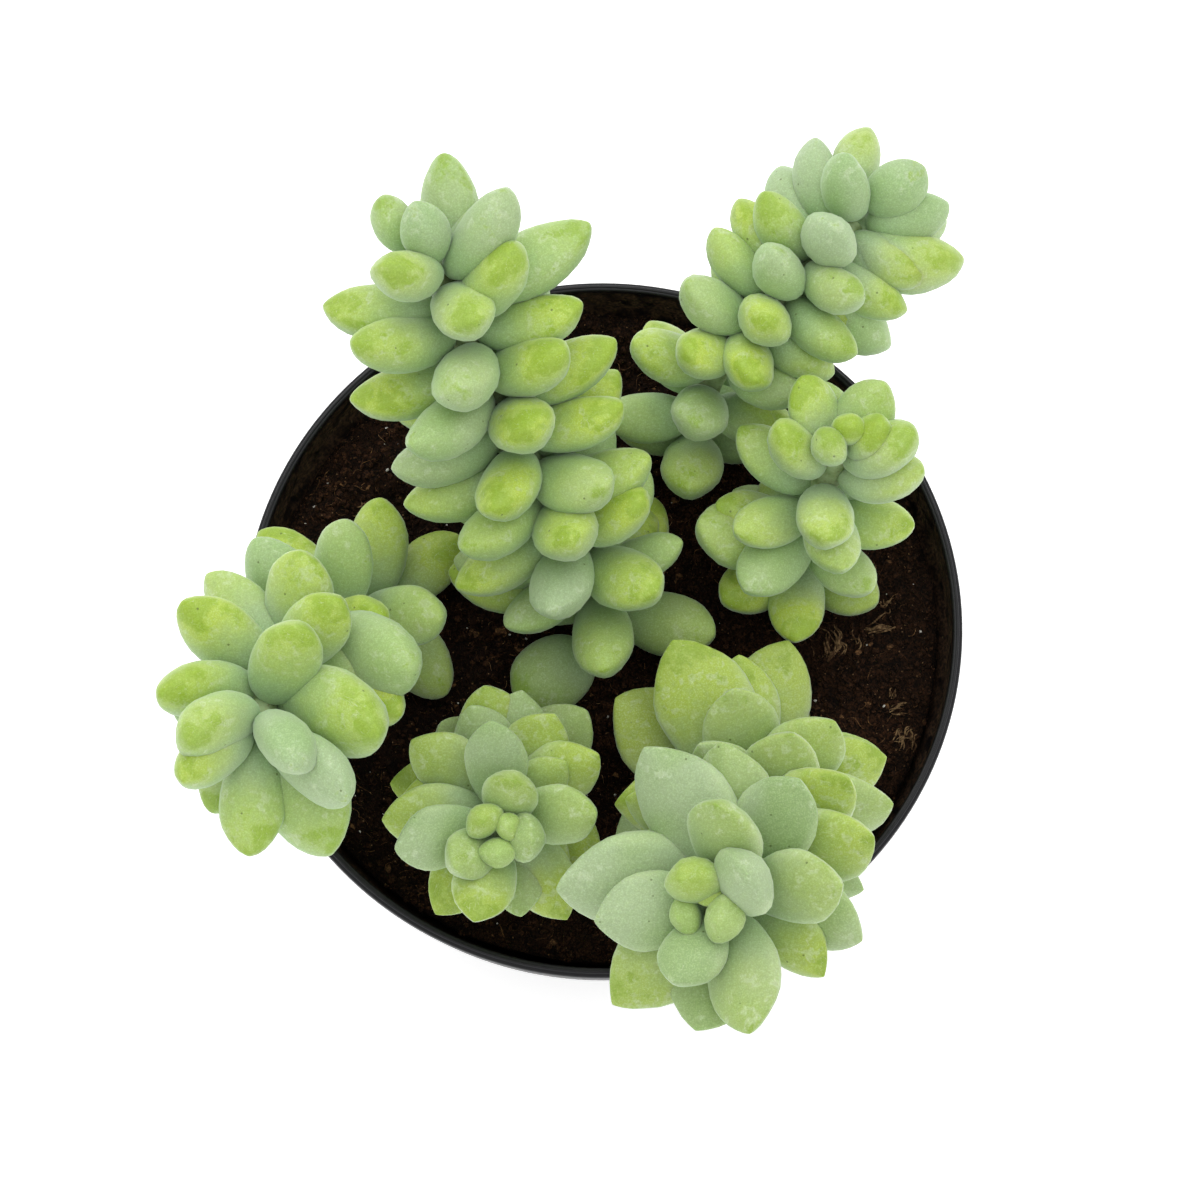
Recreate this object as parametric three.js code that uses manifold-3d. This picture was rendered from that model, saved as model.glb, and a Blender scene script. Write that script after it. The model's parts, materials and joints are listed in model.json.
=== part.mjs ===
// A young burro's tail succulent in its thin plastic nursery pot. Six leafy stems stand in a block of peat:
// three trailing tails of plump bean-shaped leaves, one short dense stem and two rosettes of pointed leaves.
// A loose leaf lies on the peat.
//
// Millimetres, +Z up. The origin is the middle of the pot's flat underside. +X and +Y are right and up in a
// picture taken from above. Angles in the driving dimensions are in degrees.

import * as THREE from 'three';
import { mergeVertices } from 'three/addons/utils/BufferGeometryUtils.js';
import Module from 'manifold-3d';

const wasm = await Module();
wasm.setup();

// -------------------------------------------------------------------------- driving dimensions

const POT = {
  lipRadius: 54, // outside of the lip
  height: 90,
  footRadius: 36.5,
  wall: 1.2,
  floor: 1.6,
  lipWall: 1.5, // the band round the mouth
  bandDepth: 9, // how far the band reaches down from the lip
  shoulder: 1.4, // how far the band stands out from the wall below it
  round: 0.6, // rounding of the lip and the foot
  drainHoles: 6,
  drainRadius: 4,
  drainRing: 29,
  sides: 40,
};

const SOIL = {
  level: 84,
  waviness: 0.5, // height of each of the waves that make the top uneven
  gap: 0.3, // to the pot and round each stalk
  rings: 5,
  sides: 32,
  planting: 7, // how deep the stalks stand in it
};

const LEAF = {
  sides: 5,
  // half width as a share of the leaf's width, along the leaf from root to tip: [across, along]
  outline: [[0, 0], [0.34, 0.2], [0.5, 0.55], [0.32, 0.88], [0, 1]],
  curl: 28, // how far the leaf bends back towards the stem's tip along its length
  sink: 0.6, // where the root sits, as a share of the stalk's radius
  crowding: 0.35, // how much closer than full ones the leaves that are still growing stand
  clearance: 0.7, // to soil, lip and the other stems
  lipBerth: 3, // how far to either side of the lip a leaf already rises over it
};

const GOLDEN_ANGLE = 137.508;

// how far single leaves stray from the rule, end to end: angles, and shares of the length and width
const STRAY = { turn: 14, lean: 10, length: 0.12, width: 0.1 };

// a stalk's six-sided rod: how many steps it has, and how many samples of its curve lie between two bends
const ROD = { sides: 6, steps: 8, stride: 15 };

// a leaf that would touch what lies under it rises towards the stem's tip in such steps
const LIFT = { angle: 3, steps: 24 };

// route: the stalk's curve from where it leaves the soil to its growing tip, as four control points
// stalk: its radius; leaf: length, width, and thickness as a share of the width (the newest are round)
// spacing: distance along the stalk from one leaf to the next
// thins: from which leaf on they stand further apart, and how much further
// young: how many leaves are still growing; newest: size of the newest, as a share of a full one
// turn: +1 or -1 for the way the spiral winds; start: bearing of the newest leaf
// lean: angle between leaf and stalk at the tip, on the full stem, and at its foot
// opens: how many leaves from the tip the full lean is reached
// bare: leafless length above the soil; trim: hand-set changes to single leaves, [turn, lean, size]
const STEMS = [
  {
    name: 'stem_crown',
    route: [[19.5, -26.1, 84], [23, -24, 107.5], [26, -43.5, 105], [14.5, -51.4, 126.5]],
    stalk: 2.6, leaf: [18.9, 11.7, 0.62], spacing: 1.12, thins: [40, 1],
    young: 7.2, newest: 0.16, turn: 1, start: 101,
    lean: [20, 79, 97], opens: 12.9, bare: 5, seed: 4,
    trim: {
      0: [-11, 0, 1], 1: [-31, 0, 1], 2: [-17, 0, 1], 3: [-27, 0, 1], 4: [-18, 0, 1], 5: [-11, 0, 1],
      6: [0, 7, 1], 7: [-27, 0, 1], 8: [-21, 0, 1], 9: [-22, 4, 1.1], 11: [-33, 10, 1.19],
      12: [19, 10, 0.83], 13: [-8, 0, 1], 14: [-46, -22, 1.3], 15: [-11, 0, 1], 16: [-26, 15, 1.06],
      17: [-5, -44, 1.3], 18: [-16, 0, 1], 20: [31, 16, 0.78], 21: [0, 0, 0.8], 23: [32, 0, 1],
      26: [5, 0, 1], 28: [32, 0, 1], 29: [0, 0, 0.8], 31: [23, 0, 1], 33: [66, 0, 1], 34: [9, -8, 0.98],
      36: [18, 0, 1], 37: [-31, -3, 1.28], 39: [33, 0, 1], 42: [-45, -16, 1.14], 44: [30, 3, 0.86],
      45: [-25, -20, 1.22],
    },
  },
  {
    name: 'stem_pup',
    route: [[-14.6, -25.4, 84], [-13.6, -24.5, 97.5], [-14.8, -34.5, 102.6], [-15, -38.2, 115.5]],
    stalk: 2.0, leaf: [16, 9.5, 0.64], spacing: 1.23, thins: [40, 1],
    young: 8, newest: 0.25, turn: -1, start: 37,
    lean: [16, 74, 82], opens: 11.8, bare: 3, seed: 5,
    trim: {
      0: [0, -8, 1], 1: [9, 0, 1], 2: [3, 0, 1], 3: [14, 0, 1], 4: [10, 0, 1], 5: [4, 0, 1],
      6: [-37, 0, 1], 7: [34, 0, 1], 9: [0, 3, 1], 10: [-6, 0, 1], 11: [-23, 0, 1], 12: [-4, 0, 1],
      13: [0, 0, 0.8], 14: [12, -21, 0.98], 16: [40, 0, 1], 17: [-45, 0, 1], 18: [-22, 0, 1],
      20: [-52, 0, 1], 21: [59, 0, 1], 23: [-17, -12, 1.1], 25: [-19, -9, 0.99], 26: [-10, -25, 1.15],
      28: [0, -36, 1],
    },
  },
  {
    name: 'stem_tall',
    route: [[1.5, 2.3, 84], [-3.1, 4, 110.9], [-17.3, 25.8, 121.8], [-24.6, 40.8, 141.9]],
    stalk: 2.3, leaf: [17.1, 9.6, 0.86], spacing: 1.37, thins: [46, 1.6],
    young: 4.7, newest: 0.6, turn: 1, start: 161,
    lean: [12, 83, 86], opens: 15.6, bare: 3, seed: 1,
    trim: {
      0: [13, 0, 1], 2: [-60, 44, 0.93], 3: [41, 29, 0.97], 4: [4, 29, 1.04], 5: [-66, 0, 1],
      6: [40, 44, 0.96], 7: [-21, 44, 1.2], 8: [11, 22, 0.97], 9: [28, 0, 1], 11: [0, -5, 1],
      12: [0, 22, 1], 14: [0, 4, 1], 17: [3, 0, 1], 19: [-9, 0, 1], 20: [-16, 12, 1.05], 22: [0, -5, 1],
      24: [-11, 0, 1], 25: [0, 11, 1], 27: [-4, 0, 1], 29: [18, 0, 1], 30: [0, 4, 1], 32: [8, 0, 1],
      33: [-16, 0, 1], 35: [0, -8, 1], 37: [0, 6, 1], 38: [0, -16, 1], 40: [13, 0, 1], 41: [0, 0, 0.9],
      43: [13, 0, 1], 44: [-25, 30, 1.01], 45: [0, 0, 0.85], 46: [0, 0, 0.8], 47: [40, -11, 1.19],
      48: [0, -6, 1],
    },
  },
  {
    name: 'stem_short',
    route: [[29.7, 9.1, 84], [28.7, 9.1, 101.2], [34.4, 18.5, 119.5], [34.6, 17.7, 122.5]],
    stalk: 2.0, leaf: [13.4, 8.5, 0.85], spacing: 1.3, thins: [26, 1.5],
    young: 4.4, newest: 0.42, turn: 1, start: 79,
    lean: [16, 81, 90], opens: 11.6, bare: 3, seed: 3,
    trim: {
      0: [0, -4, 1], 1: [0, 5, 1], 2: [0, -3, 1], 3: [0, 32, 1], 4: [72, 0, 1], 5: [0, -14, 1],
      6: [4, 0, 1], 7: [27, 0, 1], 8: [0, -22, 1], 9: [32, 0, 1], 10: [33, 27, 1.05], 11: [0, -3, 1],
      12: [-9, 0, 1], 14: [3, 0, 1], 15: [0, -5, 1], 16: [0, 44, 1], 17: [-21, 14, 1.12], 20: [0, -5, 1],
      22: [-36, -9, 1.3], 23: [0, 44, 1], 25: [-8, 0, 1], 27: [17, 0, 1], 28: [0, -22, 1],
    },
  },
  {
    name: 'stem_arching',
    route: [[15.2, 24.7, 84], [12.1, 35.5, 106.2], [19.1, 31.3, 122.3], [38.4, 54.2, 122]],
    stalk: 2.0, leaf: [13.5, 8.7, 0.86], spacing: 1, thins: [30, 2.3],
    young: 1.5, newest: 0.85, turn: -1, start: 253,
    lean: [28, 83, 81], opens: 6.9, bare: 4, seed: 2,
    trim: {
      0: [0, 16, 1], 1: [25, 0, 1], 2: [-17, 0, 1], 3: [7, 25, 0.95], 4: [-50, -20, 1.26], 5: [33, 0, 1],
      6: [0, -26, 1], 7: [-43, -32, 1.3], 8: [0, 10, 1], 9: [21, -11, 1.15], 10: [13, 0, 1],
      11: [-5, 0, 1], 12: [-42, 7, 1.3], 13: [10, 0, 1], 14: [12, 0, 1], 15: [0, 0, 0.8], 18: [10, 0, 1],
      19: [0, 4, 1], 23: [0, 4, 1], 24: [-11, 0, 1], 26: [-15, 0, 1], 27: [0, 0, 0.8], 29: [0, -7, 1],
      31: [-5, 0, 1], 32: [14, 0, 1], 34: [0, -19, 1], 39: [-34, -15, 1.08],
    },
  },
  {
    name: 'stem_left',
    route: [[-30.6, 4.7, 84], [-38.5, -0.7, 96.9], [-50.1, -12.5, 117.6], [-48.1, -27.6, 127.5]],
    stalk: 2.2, leaf: [16.7, 9.7, 0.82], spacing: 1.26, thins: [24, 1.7],
    young: 3.1, newest: 0.85, turn: -1, start: 308,
    lean: [10, 81, 89], opens: 6.4, bare: 4, seed: 6,
    trim: {
      0: [45, 33, 1.11], 1: [-3, 27, 0.96], 2: [0, -8, 1], 3: [4, 0, 1], 4: [10, -19, 1.04],
      5: [-51, -21, 1.3], 6: [30, -20, 0.91], 9: [0, -27, 1], 10: [-8, -30, 1.3], 12: [25, 0, 1],
      13: [0, -44, 1], 14: [0, -41, 1], 15: [-4, 0, 1], 17: [0, 30, 1], 18: [0, 0, 0.8], 20: [-5, 0, 1],
      21: [34, -12, 1.12], 23: [-21, -12, 1.3], 25: [0, 10, 1], 26: [41, -19, 0.88], 28: [13, 0, 1],
      31: [0, -8, 1], 33: [-13, 0, 1], 34: [0, 8, 1], 35: [-135, 30, 0.95],
    },
  },
];

// The loose leaf: where its root lies on the soil, and the bearing that it points to.
const FALLEN_LEAF = { root: [-2, -3.5], bearing: 217, size: [14, 11.5, 0.75], tilt: 4 };

const COLOURS = {
  pot: 0x141517,
  soil: 0x33241b,
  stem_crown: 0xa9c67c,
  stem_pup: 0xa6c374,
  stem_tall: 0xa2bd83,
  stem_arching: 0xa0bb82,
  stem_short: 0x9fbb85,
  stem_left: 0xa3be80,
  fallen_leaf: 0x93ab5c,
};

// ---------------------------------------------------------------------------------- small helpers

const radians = THREE.MathUtils.degToRad;

/** 0 up to `from`, 1 past `to`, and smooth between. */
const ease = (value, from, to) => THREE.MathUtils.smoothstep(value, from, to);

/** A repeatable draw from -0.5 to 0.5 for one leaf; `salt` tells draws for the same leaf apart. */
function draw(index, seed, salt) {
  const wave = Math.sin(index * 12.9898 + seed * 78.233 + salt * 37.719) * 43758.5453;
  return wave - Math.floor(wave) - 0.5;
}

/** The solid inside a closed three.js geometry, whichever way its faces are wound. */
function solid(geometry) {
  const bare = new THREE.BufferGeometry();
  bare.setAttribute('position', geometry.getAttribute('position'));
  bare.setIndex(geometry.getIndex());
  const merged = mergeVertices(bare, 1e-4);
  const vertProperties = merged.attributes.position.array;
  const triVerts = [];
  for (let i = 0; i < merged.index.count; i += 3) {
    const [a, b, c] = [0, 1, 2].map((k) => merged.index.getX(i + k));
    if (a !== b && b !== c && c !== a) triVerts.push(a, b, c);
  }
  const make = (triangles) =>
    new wasm.Manifold(new wasm.Mesh({ numProp: 3, vertProperties, triVerts: new Uint32Array(triangles) }));
  const made = make(triVerts);
  return made.volume() > 0 ? made : make(triVerts.reverse());
}

/** The largest body of a solid, without loose scraps and sealed hollows, as a named mesh. */
function meshOf(name, body) {
  const largest = body.decompose().sort((a, b) => b.volume() - a.volume())[0];
  const { vertProperties, triVerts } = largest.getMesh();
  const geometry = new THREE.BufferGeometry();
  geometry.setAttribute('position', new THREE.BufferAttribute(vertProperties, 3));
  geometry.setIndex(new THREE.BufferAttribute(triVerts, 1));
  geometry.computeVertexNormals();
  const shiny = name === 'pot';
  const material = new THREE.MeshStandardMaterial({
    color: COLOURS[name],
    roughness: shiny ? 0.35 : name === 'soil' ? 1 : 0.55,
    metalness: 0,
  });
  const mesh = new THREE.Mesh(geometry, material);
  mesh.name = name;
  return mesh;
}

// -------------------------------------------------------------------------------------------- pot

const bandFoot = POT.height - POT.bandDepth;
const bandInside = POT.lipRadius - POT.lipWall;

/** Inside radius of the wall below the band at a height. */
function wallInside(height) {
  const low = POT.footRadius - POT.wall;
  const high = bandInside - POT.shoulder;
  return THREE.MathUtils.lerp(low, high, height / bandFoot);
}

function potSolid() {
  const { lipRadius, height, footRadius, wall, floor, round, lipWall } = POT;
  const wallTop = wallInside(bandFoot);
  const profile = [
    [0, 0],
    [footRadius - 2 * round, 0],
    [footRadius, 2 * round],
    [wallTop + wall, bandFoot - round],
    [lipRadius - round / 2, bandFoot],
    [lipRadius, bandFoot + round],
    [lipRadius, height - round],
    [lipRadius - lipWall / 3, height],
    [lipRadius - (2 * lipWall) / 3, height],
    [bandInside, height - round],
    [bandInside - round / 2, bandFoot + wall],
    [wallTop, bandFoot - round],
    [wallInside(floor), floor],
    [0, floor],
  ].map(([r, z]) => new THREE.Vector2(r, z));
  let pot = solid(new THREE.LatheGeometry(profile, POT.sides).rotateX(Math.PI / 2));
  for (let i = 0; i < POT.drainHoles; i++) {
    const bearing = (i / POT.drainHoles) * 2 * Math.PI;
    const hole = new THREE.CylinderGeometry(POT.drainRadius, POT.drainRadius, 4 * floor, 8)
      .rotateX(Math.PI / 2)
      .translate(POT.drainRing * Math.cos(bearing), POT.drainRing * Math.sin(bearing), floor / 2);
    pot = pot.subtract(solid(hole));
  }
  return pot;
}

// ------------------------------------------------------------------------------------------- soil

/** Height of the uneven soil top at a place. */
function soilTop(x, y) {
  const broad = Math.sin(0.13 * x + 1.3) * Math.cos(0.11 * y - 0.4);
  const mid = Math.sin(0.31 * x - 0.23 * y);
  const fine = Math.cos(0.47 * y + 0.19 * x + 0.8);
  return SOIL.level + SOIL.waviness * (broad + mid + fine);
}

/** The block of soil, with a plain hole for each stalk. */
function soilSolid(holes) {
  const bottom = POT.floor + SOIL.gap;
  const edge = wallInside(bandFoot) - 2 * SOIL.gap;
  const profile = [[0, bottom], [wallInside(bottom) - SOIL.gap, bottom], [edge, SOIL.level]];
  for (let ring = SOIL.rings - 1; ring >= 0; ring--) profile.push([(edge * ring) / SOIL.rings, SOIL.level]);
  const block = new THREE.LatheGeometry(profile.map(([r, z]) => new THREE.Vector2(r, z)), SOIL.sides);
  block.rotateX(Math.PI / 2);
  const places = block.attributes.position;
  for (let i = 0; i < places.count; i++) {
    const isTop = places.getZ(i) > SOIL.level - SOIL.gap;
    if (isTop) places.setZ(i, soilTop(places.getX(i), places.getY(i)));
  }
  return holes.reduce((soil, hole) => soil.subtract(hole), solid(block));
}

// ------------------------------------------------------------------------------------------ stalk

const TRACE_STEPS = 120;

/** Samples along a stalk: distance, place, direction, and an arrow across it that doesn't twist round it. */
function trace(route) {
  const curve = new THREE.CubicBezierCurve3(...route.map((p) => new THREE.Vector3(...p)));
  const across = new THREE.Vector3(1, 0, 0);
  const samples = [];
  for (let k = 0; k <= TRACE_STEPS; k++) {
    const place = curve.getPoint(k / TRACE_STEPS);
    const along = curve.getTangent(k / TRACE_STEPS);
    const distance = k ? samples[k - 1].distance + place.distanceTo(samples[k - 1].place) : 0;
    across.addScaledVector(along, -across.dot(along)).normalize();
    samples.push({ distance, place, along, across: across.clone() });
  }
  return samples;
}

/** The sample at a distance along a stalk. */
function sampleAt(samples, distance) {
  const next = Math.max(1, samples.findIndex((s) => s.distance >= distance));
  const [a, b] = [samples[next - 1], samples[next]];
  const share = THREE.MathUtils.clamp((distance - a.distance) / (b.distance - a.distance), 0, 1);
  const place = a.place.clone().lerp(b.place, share);
  const along = a.along.clone().lerp(b.along, share).normalize();
  const across = a.across.clone().lerp(b.across, share);
  across.addScaledVector(along, -across.dot(along)).normalize();
  return { place, along, across };
}

/** A round rod along a stalk, from under the soil to just short of the tip, which the newest leaves cover. */
function rod(samples, radius, planting) {
  const buried = samples[0].place.clone().addScaledVector(samples[0].along, -planting);
  const end = samples[TRACE_STEPS].distance - radius;
  const bends = samples.filter((s, k) => k % ROD.stride === 0 && s.distance < end).map((s) => s.place);
  bends.push(sampleAt(samples, end).place);
  const corners = [];
  for (let k = 0; k < ROD.sides; k++) {
    const angle = (2 * Math.PI * k) / ROD.sides;
    corners.push(new THREE.Vector2(radius * Math.cos(angle), radius * Math.sin(angle)));
  }
  const extrudePath = new THREE.CatmullRomCurve3([buried, ...bends]);
  const settings = { steps: ROD.steps, bevelEnabled: false, extrudePath };
  return solid(new THREE.ExtrudeGeometry(new THREE.Shape(corners), settings));
}

// ----------------------------------------------------------------------------------------- leaves

/** Direction, normal and place on a leaf's bent middle line, at a share of its length. */
function middle(leaf, share) {
  const curl = radians(LEAF.curl);
  const first = leaf.lean + curl / 2;
  const angle = first - curl * share;
  const bend = leaf.length / curl;
  const place = leaf.root.clone()
    .addScaledVector(leaf.radial, bend * (Math.cos(angle) - Math.cos(first)))
    .addScaledVector(leaf.along, bend * (Math.sin(first) - Math.sin(angle)));
  const direction = leaf.radial.clone().multiplyScalar(Math.sin(angle));
  direction.addScaledVector(leaf.along, Math.cos(angle));
  return { place, direction, normal: leaf.side.clone().cross(direction) };
}

/** A leaf: a turned bean shape, flattened, and bent along its middle line. */
function leafSolid(leaf) {
  const outline = LEAF.outline.map(([across, along]) => new THREE.Vector2(across, along));
  const bean = new THREE.LatheGeometry(outline, LEAF.sides);
  const places = bean.attributes.position;
  for (let i = 0; i < places.count; i++) {
    const { place, normal } = middle(leaf, places.getY(i));
    place.addScaledVector(leaf.side, leaf.width * places.getX(i));
    place.addScaledVector(normal, leaf.thickness * places.getZ(i));
    places.setXYZ(i, ...place);
  }
  return solid(bean);
}

/** Ellipsoids that stand for a leaf in tests for clearance: [share of its length, half width share]. */
const BEADS = [[0.25, 0.42], [0.5, 0.5], [0.75, 0.44], [0.93, 0.25]];

/** How many samples of a stalk's curve lie between two of the balls that stand for it. */
const STALK_BEAD_STRIDE = 4;

function beadsOf(leaf) {
  return BEADS.map(([along, across]) => {
    const { place, direction, normal } = middle(leaf, along);
    const axes = [
      leaf.side.clone().multiplyScalar(leaf.width * across),
      normal.multiplyScalar(leaf.thickness * across),
      direction.multiplyScalar(leaf.thickness * across),
    ];
    return { place, axes };
  });
}

/** How far a bead reaches in a direction. */
const reach = (bead, direction) => Math.hypot(...bead.axes.map((axis) => axis.dot(direction)));

/** Whether no bead of one list comes near a bead of the other. */
function areClear(beads, others) {
  const gap = new THREE.Vector3();
  return beads.every((bead) => others.every((other) => {
    gap.subVectors(other.place, bead.place);
    const distance = gap.length();
    gap.divideScalar(distance || 1);
    return distance > reach(bead, gap) + reach(other, gap) + LEAF.clearance;
  }));
}

/** Height of what lies under a place: the soil, the lip, or nothing outside the pot. */
function ground(x, y) {
  const radius = Math.hypot(x, y);
  if (radius < bandInside - LEAF.lipBerth) return soilTop(x, y);
  return radius < POT.lipRadius + LEAF.lipBerth ? POT.height : 0;
}

/** Whether a leaf's underside is clear of what lies under it. */
function isAboveGround(leaf) {
  return beadsOf(leaf).every(({ place, axes }) => [-0.8, 0, 0.8].every((share) => {
    const at = place.clone().addScaledVector(axes[0], share);
    const drop = Math.hypot(axes[1].z, axes[2].z) * Math.sqrt(1 - share * share);
    return at.z - drop > ground(at.x, at.y) + LEAF.clearance;
  }));
}

/** Leaf number `index` of a stem, before it is kept clear of anything; null on the bare foot of the stalk. */
function leafAt(stem, samples, index, turnBy, leanBy, sizeBy) {
  const length = samples[TRACE_STEPS].distance;
  const [trimTurn, trimLean, trimSize] = stem.trim[index] ?? [0, 0, 1];
  const crowding = LEAF.crowding * stem.young * (Math.exp(-index / stem.young) - 1);
  const [denseLeaves, spread] = stem.thins;
  const thinning = (spread - 1) * Math.max(0, index - denseLeaves);
  const fromTip = stem.spacing * (index + crowding + thinning);
  if (length - fromTip < stem.bare) return null;
  const grown = THREE.MathUtils.lerp(stem.newest, 1, ease(index, -0.5, stem.young));
  const down = fromTip / (length - stem.bare);
  const [tipLean, fullLean, footLean] = stem.lean;
  const lean = tipLean + (fullLean - tipLean) * ease(index, 0, stem.opens)
    + (footLean - fullLean) * ease(down, 0.55, 1)
    + STRAY.lean * draw(index, stem.seed, 2) + trimLean + leanBy;
  const bearing = radians(stem.start + stem.turn * GOLDEN_ANGLE * index
    + STRAY.turn * draw(index, stem.seed, 1) + trimTurn + turnBy);
  const size = trimSize * sizeBy;
  const [fullLength, fullWidth, flatness] = stem.leaf;
  const width = fullWidth * grown ** 0.6 * (1 + STRAY.width * draw(index, stem.seed, 4)) * size;
  const { place, along, across } = sampleAt(samples, length - fromTip);
  const radial = across.clone().multiplyScalar(Math.cos(bearing));
  radial.addScaledVector(along.clone().cross(across), Math.sin(bearing));
  return {
    root: place.addScaledVector(radial, stem.stalk * LEAF.sink),
    along,
    radial,
    side: along.clone().cross(radial),
    lean: radians(lean),
    length: fullLength * grown * (1 + STRAY.length * draw(index, stem.seed, 3)) * size,
    width,
    thickness: width * THREE.MathUtils.lerp(1, flatness, grown),
  };
}

/** Ways a leaf may give way to another stem, gentlest first: [turn, lean, size]. */
const GIVE_WAY = [
  [0, 0, 1], [0, -8, 1], [0, 8, 1], [10, 0, 1], [-10, 0, 1], [0, -16, 1],
  [12, -8, 1], [-12, -8, 1], [16, 8, 1], [-16, 8, 1], [18, -16, 0.95], [-18, -16, 0.95],
  [0, -26, 0.95], [18, -26, 0.9], [-18, -26, 0.9], [0, -36, 0.85], [0, 0, 0.75], [0, -20, 0.75],
];

/** The leaves of a stem, each lifted off what lies under it and turned clear of the other stems. */
function growLeaves(stem, samples, others) {
  const leaves = [];
  for (let index = 0; leafAt(stem, samples, index, 0, 0, 1); index++) {
    for (const [turn, lean, size] of GIVE_WAY) {
      const leaf = leafAt(stem, samples, index, turn, lean, size);
      for (let k = 0; k < LIFT.steps && !isAboveGround(leaf); k++) leaf.lean -= radians(LIFT.angle);
      if (isAboveGround(leaf) && areClear(beadsOf(leaf), others)) {
        leaves.push(leaf);
        break;
      }
    }
  }
  return leaves;
}

/** A stalk as balls, for leaves of the other stems to keep clear of. */
function stalkBeads(stem, samples) {
  const r = stem.stalk;
  const axes = [[r, 0, 0], [0, r, 0], [0, 0, r]].map((axis) => new THREE.Vector3(...axis));
  return samples.filter((_, k) => k % STALK_BEAD_STRIDE === 0).map(({ place }) => ({ place, axes }));
}

/** The loose leaf on the soil. */
function fallenLeaf() {
  const { root: [x, y], bearing, size: [length, width, flat], tilt } = FALLEN_LEAF;
  const radial = new THREE.Vector3(Math.cos(radians(bearing)), Math.sin(radians(bearing)), 0);
  const along = new THREE.Vector3(0, 0, 1);
  const leaf = {
    root: new THREE.Vector3(x, y, POT.height),
    along,
    radial,
    side: along.clone().cross(radial),
    lean: radians(90 - tilt),
    length,
    width,
    thickness: width * flat,
  };
  const under = beadsOf(leaf)
    .map(({ place, axes }) => place.z - axes[1].length() - soilTop(place.x, place.y));
  leaf.root.z -= Math.min(...under) - SOIL.gap;
  return leaf;
}

// --------------------------------------------------------------------------------------- assembly

const loose = fallenLeaf();
const traces = STEMS.map((stem) => trace(stem.route));
const stalks = STEMS.map((stem, k) => stalkBeads(stem, traces[k]));

const grown = [];
const holes = [];
const placed = beadsOf(loose);
STEMS.forEach((stem, k) => {
  const others = [...placed, ...stalks.filter((_, other) => other !== k).flat()];
  const leaves = growLeaves(stem, traces[k], others);
  placed.push(...leaves.flatMap(beadsOf));
  const stalk = rod(traces[k], stem.stalk, SOIL.planting);
  const holeRadius = stem.stalk + SOIL.gap / Math.cos(Math.PI / ROD.sides);
  holes.push(rod(traces[k], holeRadius, SOIL.planting + SOIL.gap));
  grown.push(meshOf(stem.name, wasm.Manifold.union([stalk, ...leaves.map(leafSolid)])));
});

const plant = new THREE.Group();
plant.name = 'plant';
plant.add(...grown, meshOf('fallen_leaf', leafSolid(loose)));

const potted = new THREE.Group();
potted.name = 'potted_burros_tail';
potted.add(meshOf('pot', potSolid()), meshOf('soil', soilSolid(holes)), plant);

export default potted;
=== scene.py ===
"""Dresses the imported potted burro's tail with its finished leaves, peat and nursery pot.

The leaves grow by the same rule and from the same numbers as in the part's own source, in millimetres. Each
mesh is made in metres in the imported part's frame: +Z up, the origin in the middle of the pot's underside.
"""

import json
import logging
import math
from dataclasses import dataclass, field
from enum import Enum

import bmesh
import bpy
import numpy as np
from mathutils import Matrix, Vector, noise

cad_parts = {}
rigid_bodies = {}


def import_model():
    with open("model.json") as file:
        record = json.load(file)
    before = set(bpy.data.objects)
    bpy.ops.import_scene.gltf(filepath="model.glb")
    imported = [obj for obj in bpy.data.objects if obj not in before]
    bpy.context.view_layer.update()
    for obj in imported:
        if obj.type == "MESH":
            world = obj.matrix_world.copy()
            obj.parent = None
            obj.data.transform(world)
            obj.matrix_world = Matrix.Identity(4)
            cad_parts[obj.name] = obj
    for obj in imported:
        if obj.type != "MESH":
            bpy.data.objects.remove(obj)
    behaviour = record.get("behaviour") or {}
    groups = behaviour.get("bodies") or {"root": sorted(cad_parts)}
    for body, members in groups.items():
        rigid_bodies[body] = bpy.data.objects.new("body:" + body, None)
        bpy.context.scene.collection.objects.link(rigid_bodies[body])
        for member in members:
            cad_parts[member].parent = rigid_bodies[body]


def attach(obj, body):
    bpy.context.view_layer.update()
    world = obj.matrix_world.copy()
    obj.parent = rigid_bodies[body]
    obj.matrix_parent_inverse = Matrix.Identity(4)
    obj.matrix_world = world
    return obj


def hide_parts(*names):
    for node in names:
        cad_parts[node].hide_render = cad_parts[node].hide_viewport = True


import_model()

logging.basicConfig(level=logging.INFO, format="%(message)s")
LOG = logging.getLogger("potted_burros_tail")

MM = 0.001
BODY = "root"
Colour = tuple[float, float, float, float]
Triple = tuple[float, float, float]
WHITE: Colour = (1.0, 1.0, 1.0, 1.0)


def srgb(red: float, green: float, blue: float) -> Colour:
    """A colour as the eye reads it, 0 to 255, as the linear values that a shader takes.

    Args:
        red: Red, 0 to 255.
        green: Green, 0 to 255.
        blue: Blue, 0 to 255.

    Returns:
        Linear red, green, blue and an alpha of 1.
    """
    shares = [value / 255 for value in (red, green, blue)]
    linear = [s / 12.92 if s <= 0.04045 else ((s + 0.055) / 1.055) ** 2.4 for s in shares]
    return (linear[0], linear[1], linear[2], 1.0)


def ease(value: float, low: float, high: float) -> float:
    """0 up to low, 1 past high, and smooth between."""
    share = min(1.0, max(0.0, (value - low) / (high - low)))
    return share * share * (3 - 2 * share)


def mix(low: float, high: float, share: float) -> float:
    """The value that lies a share of the way from low to high."""
    return low + (high - low) * share


# ------------------------------------------------------------------------------------------- node trees


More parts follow.
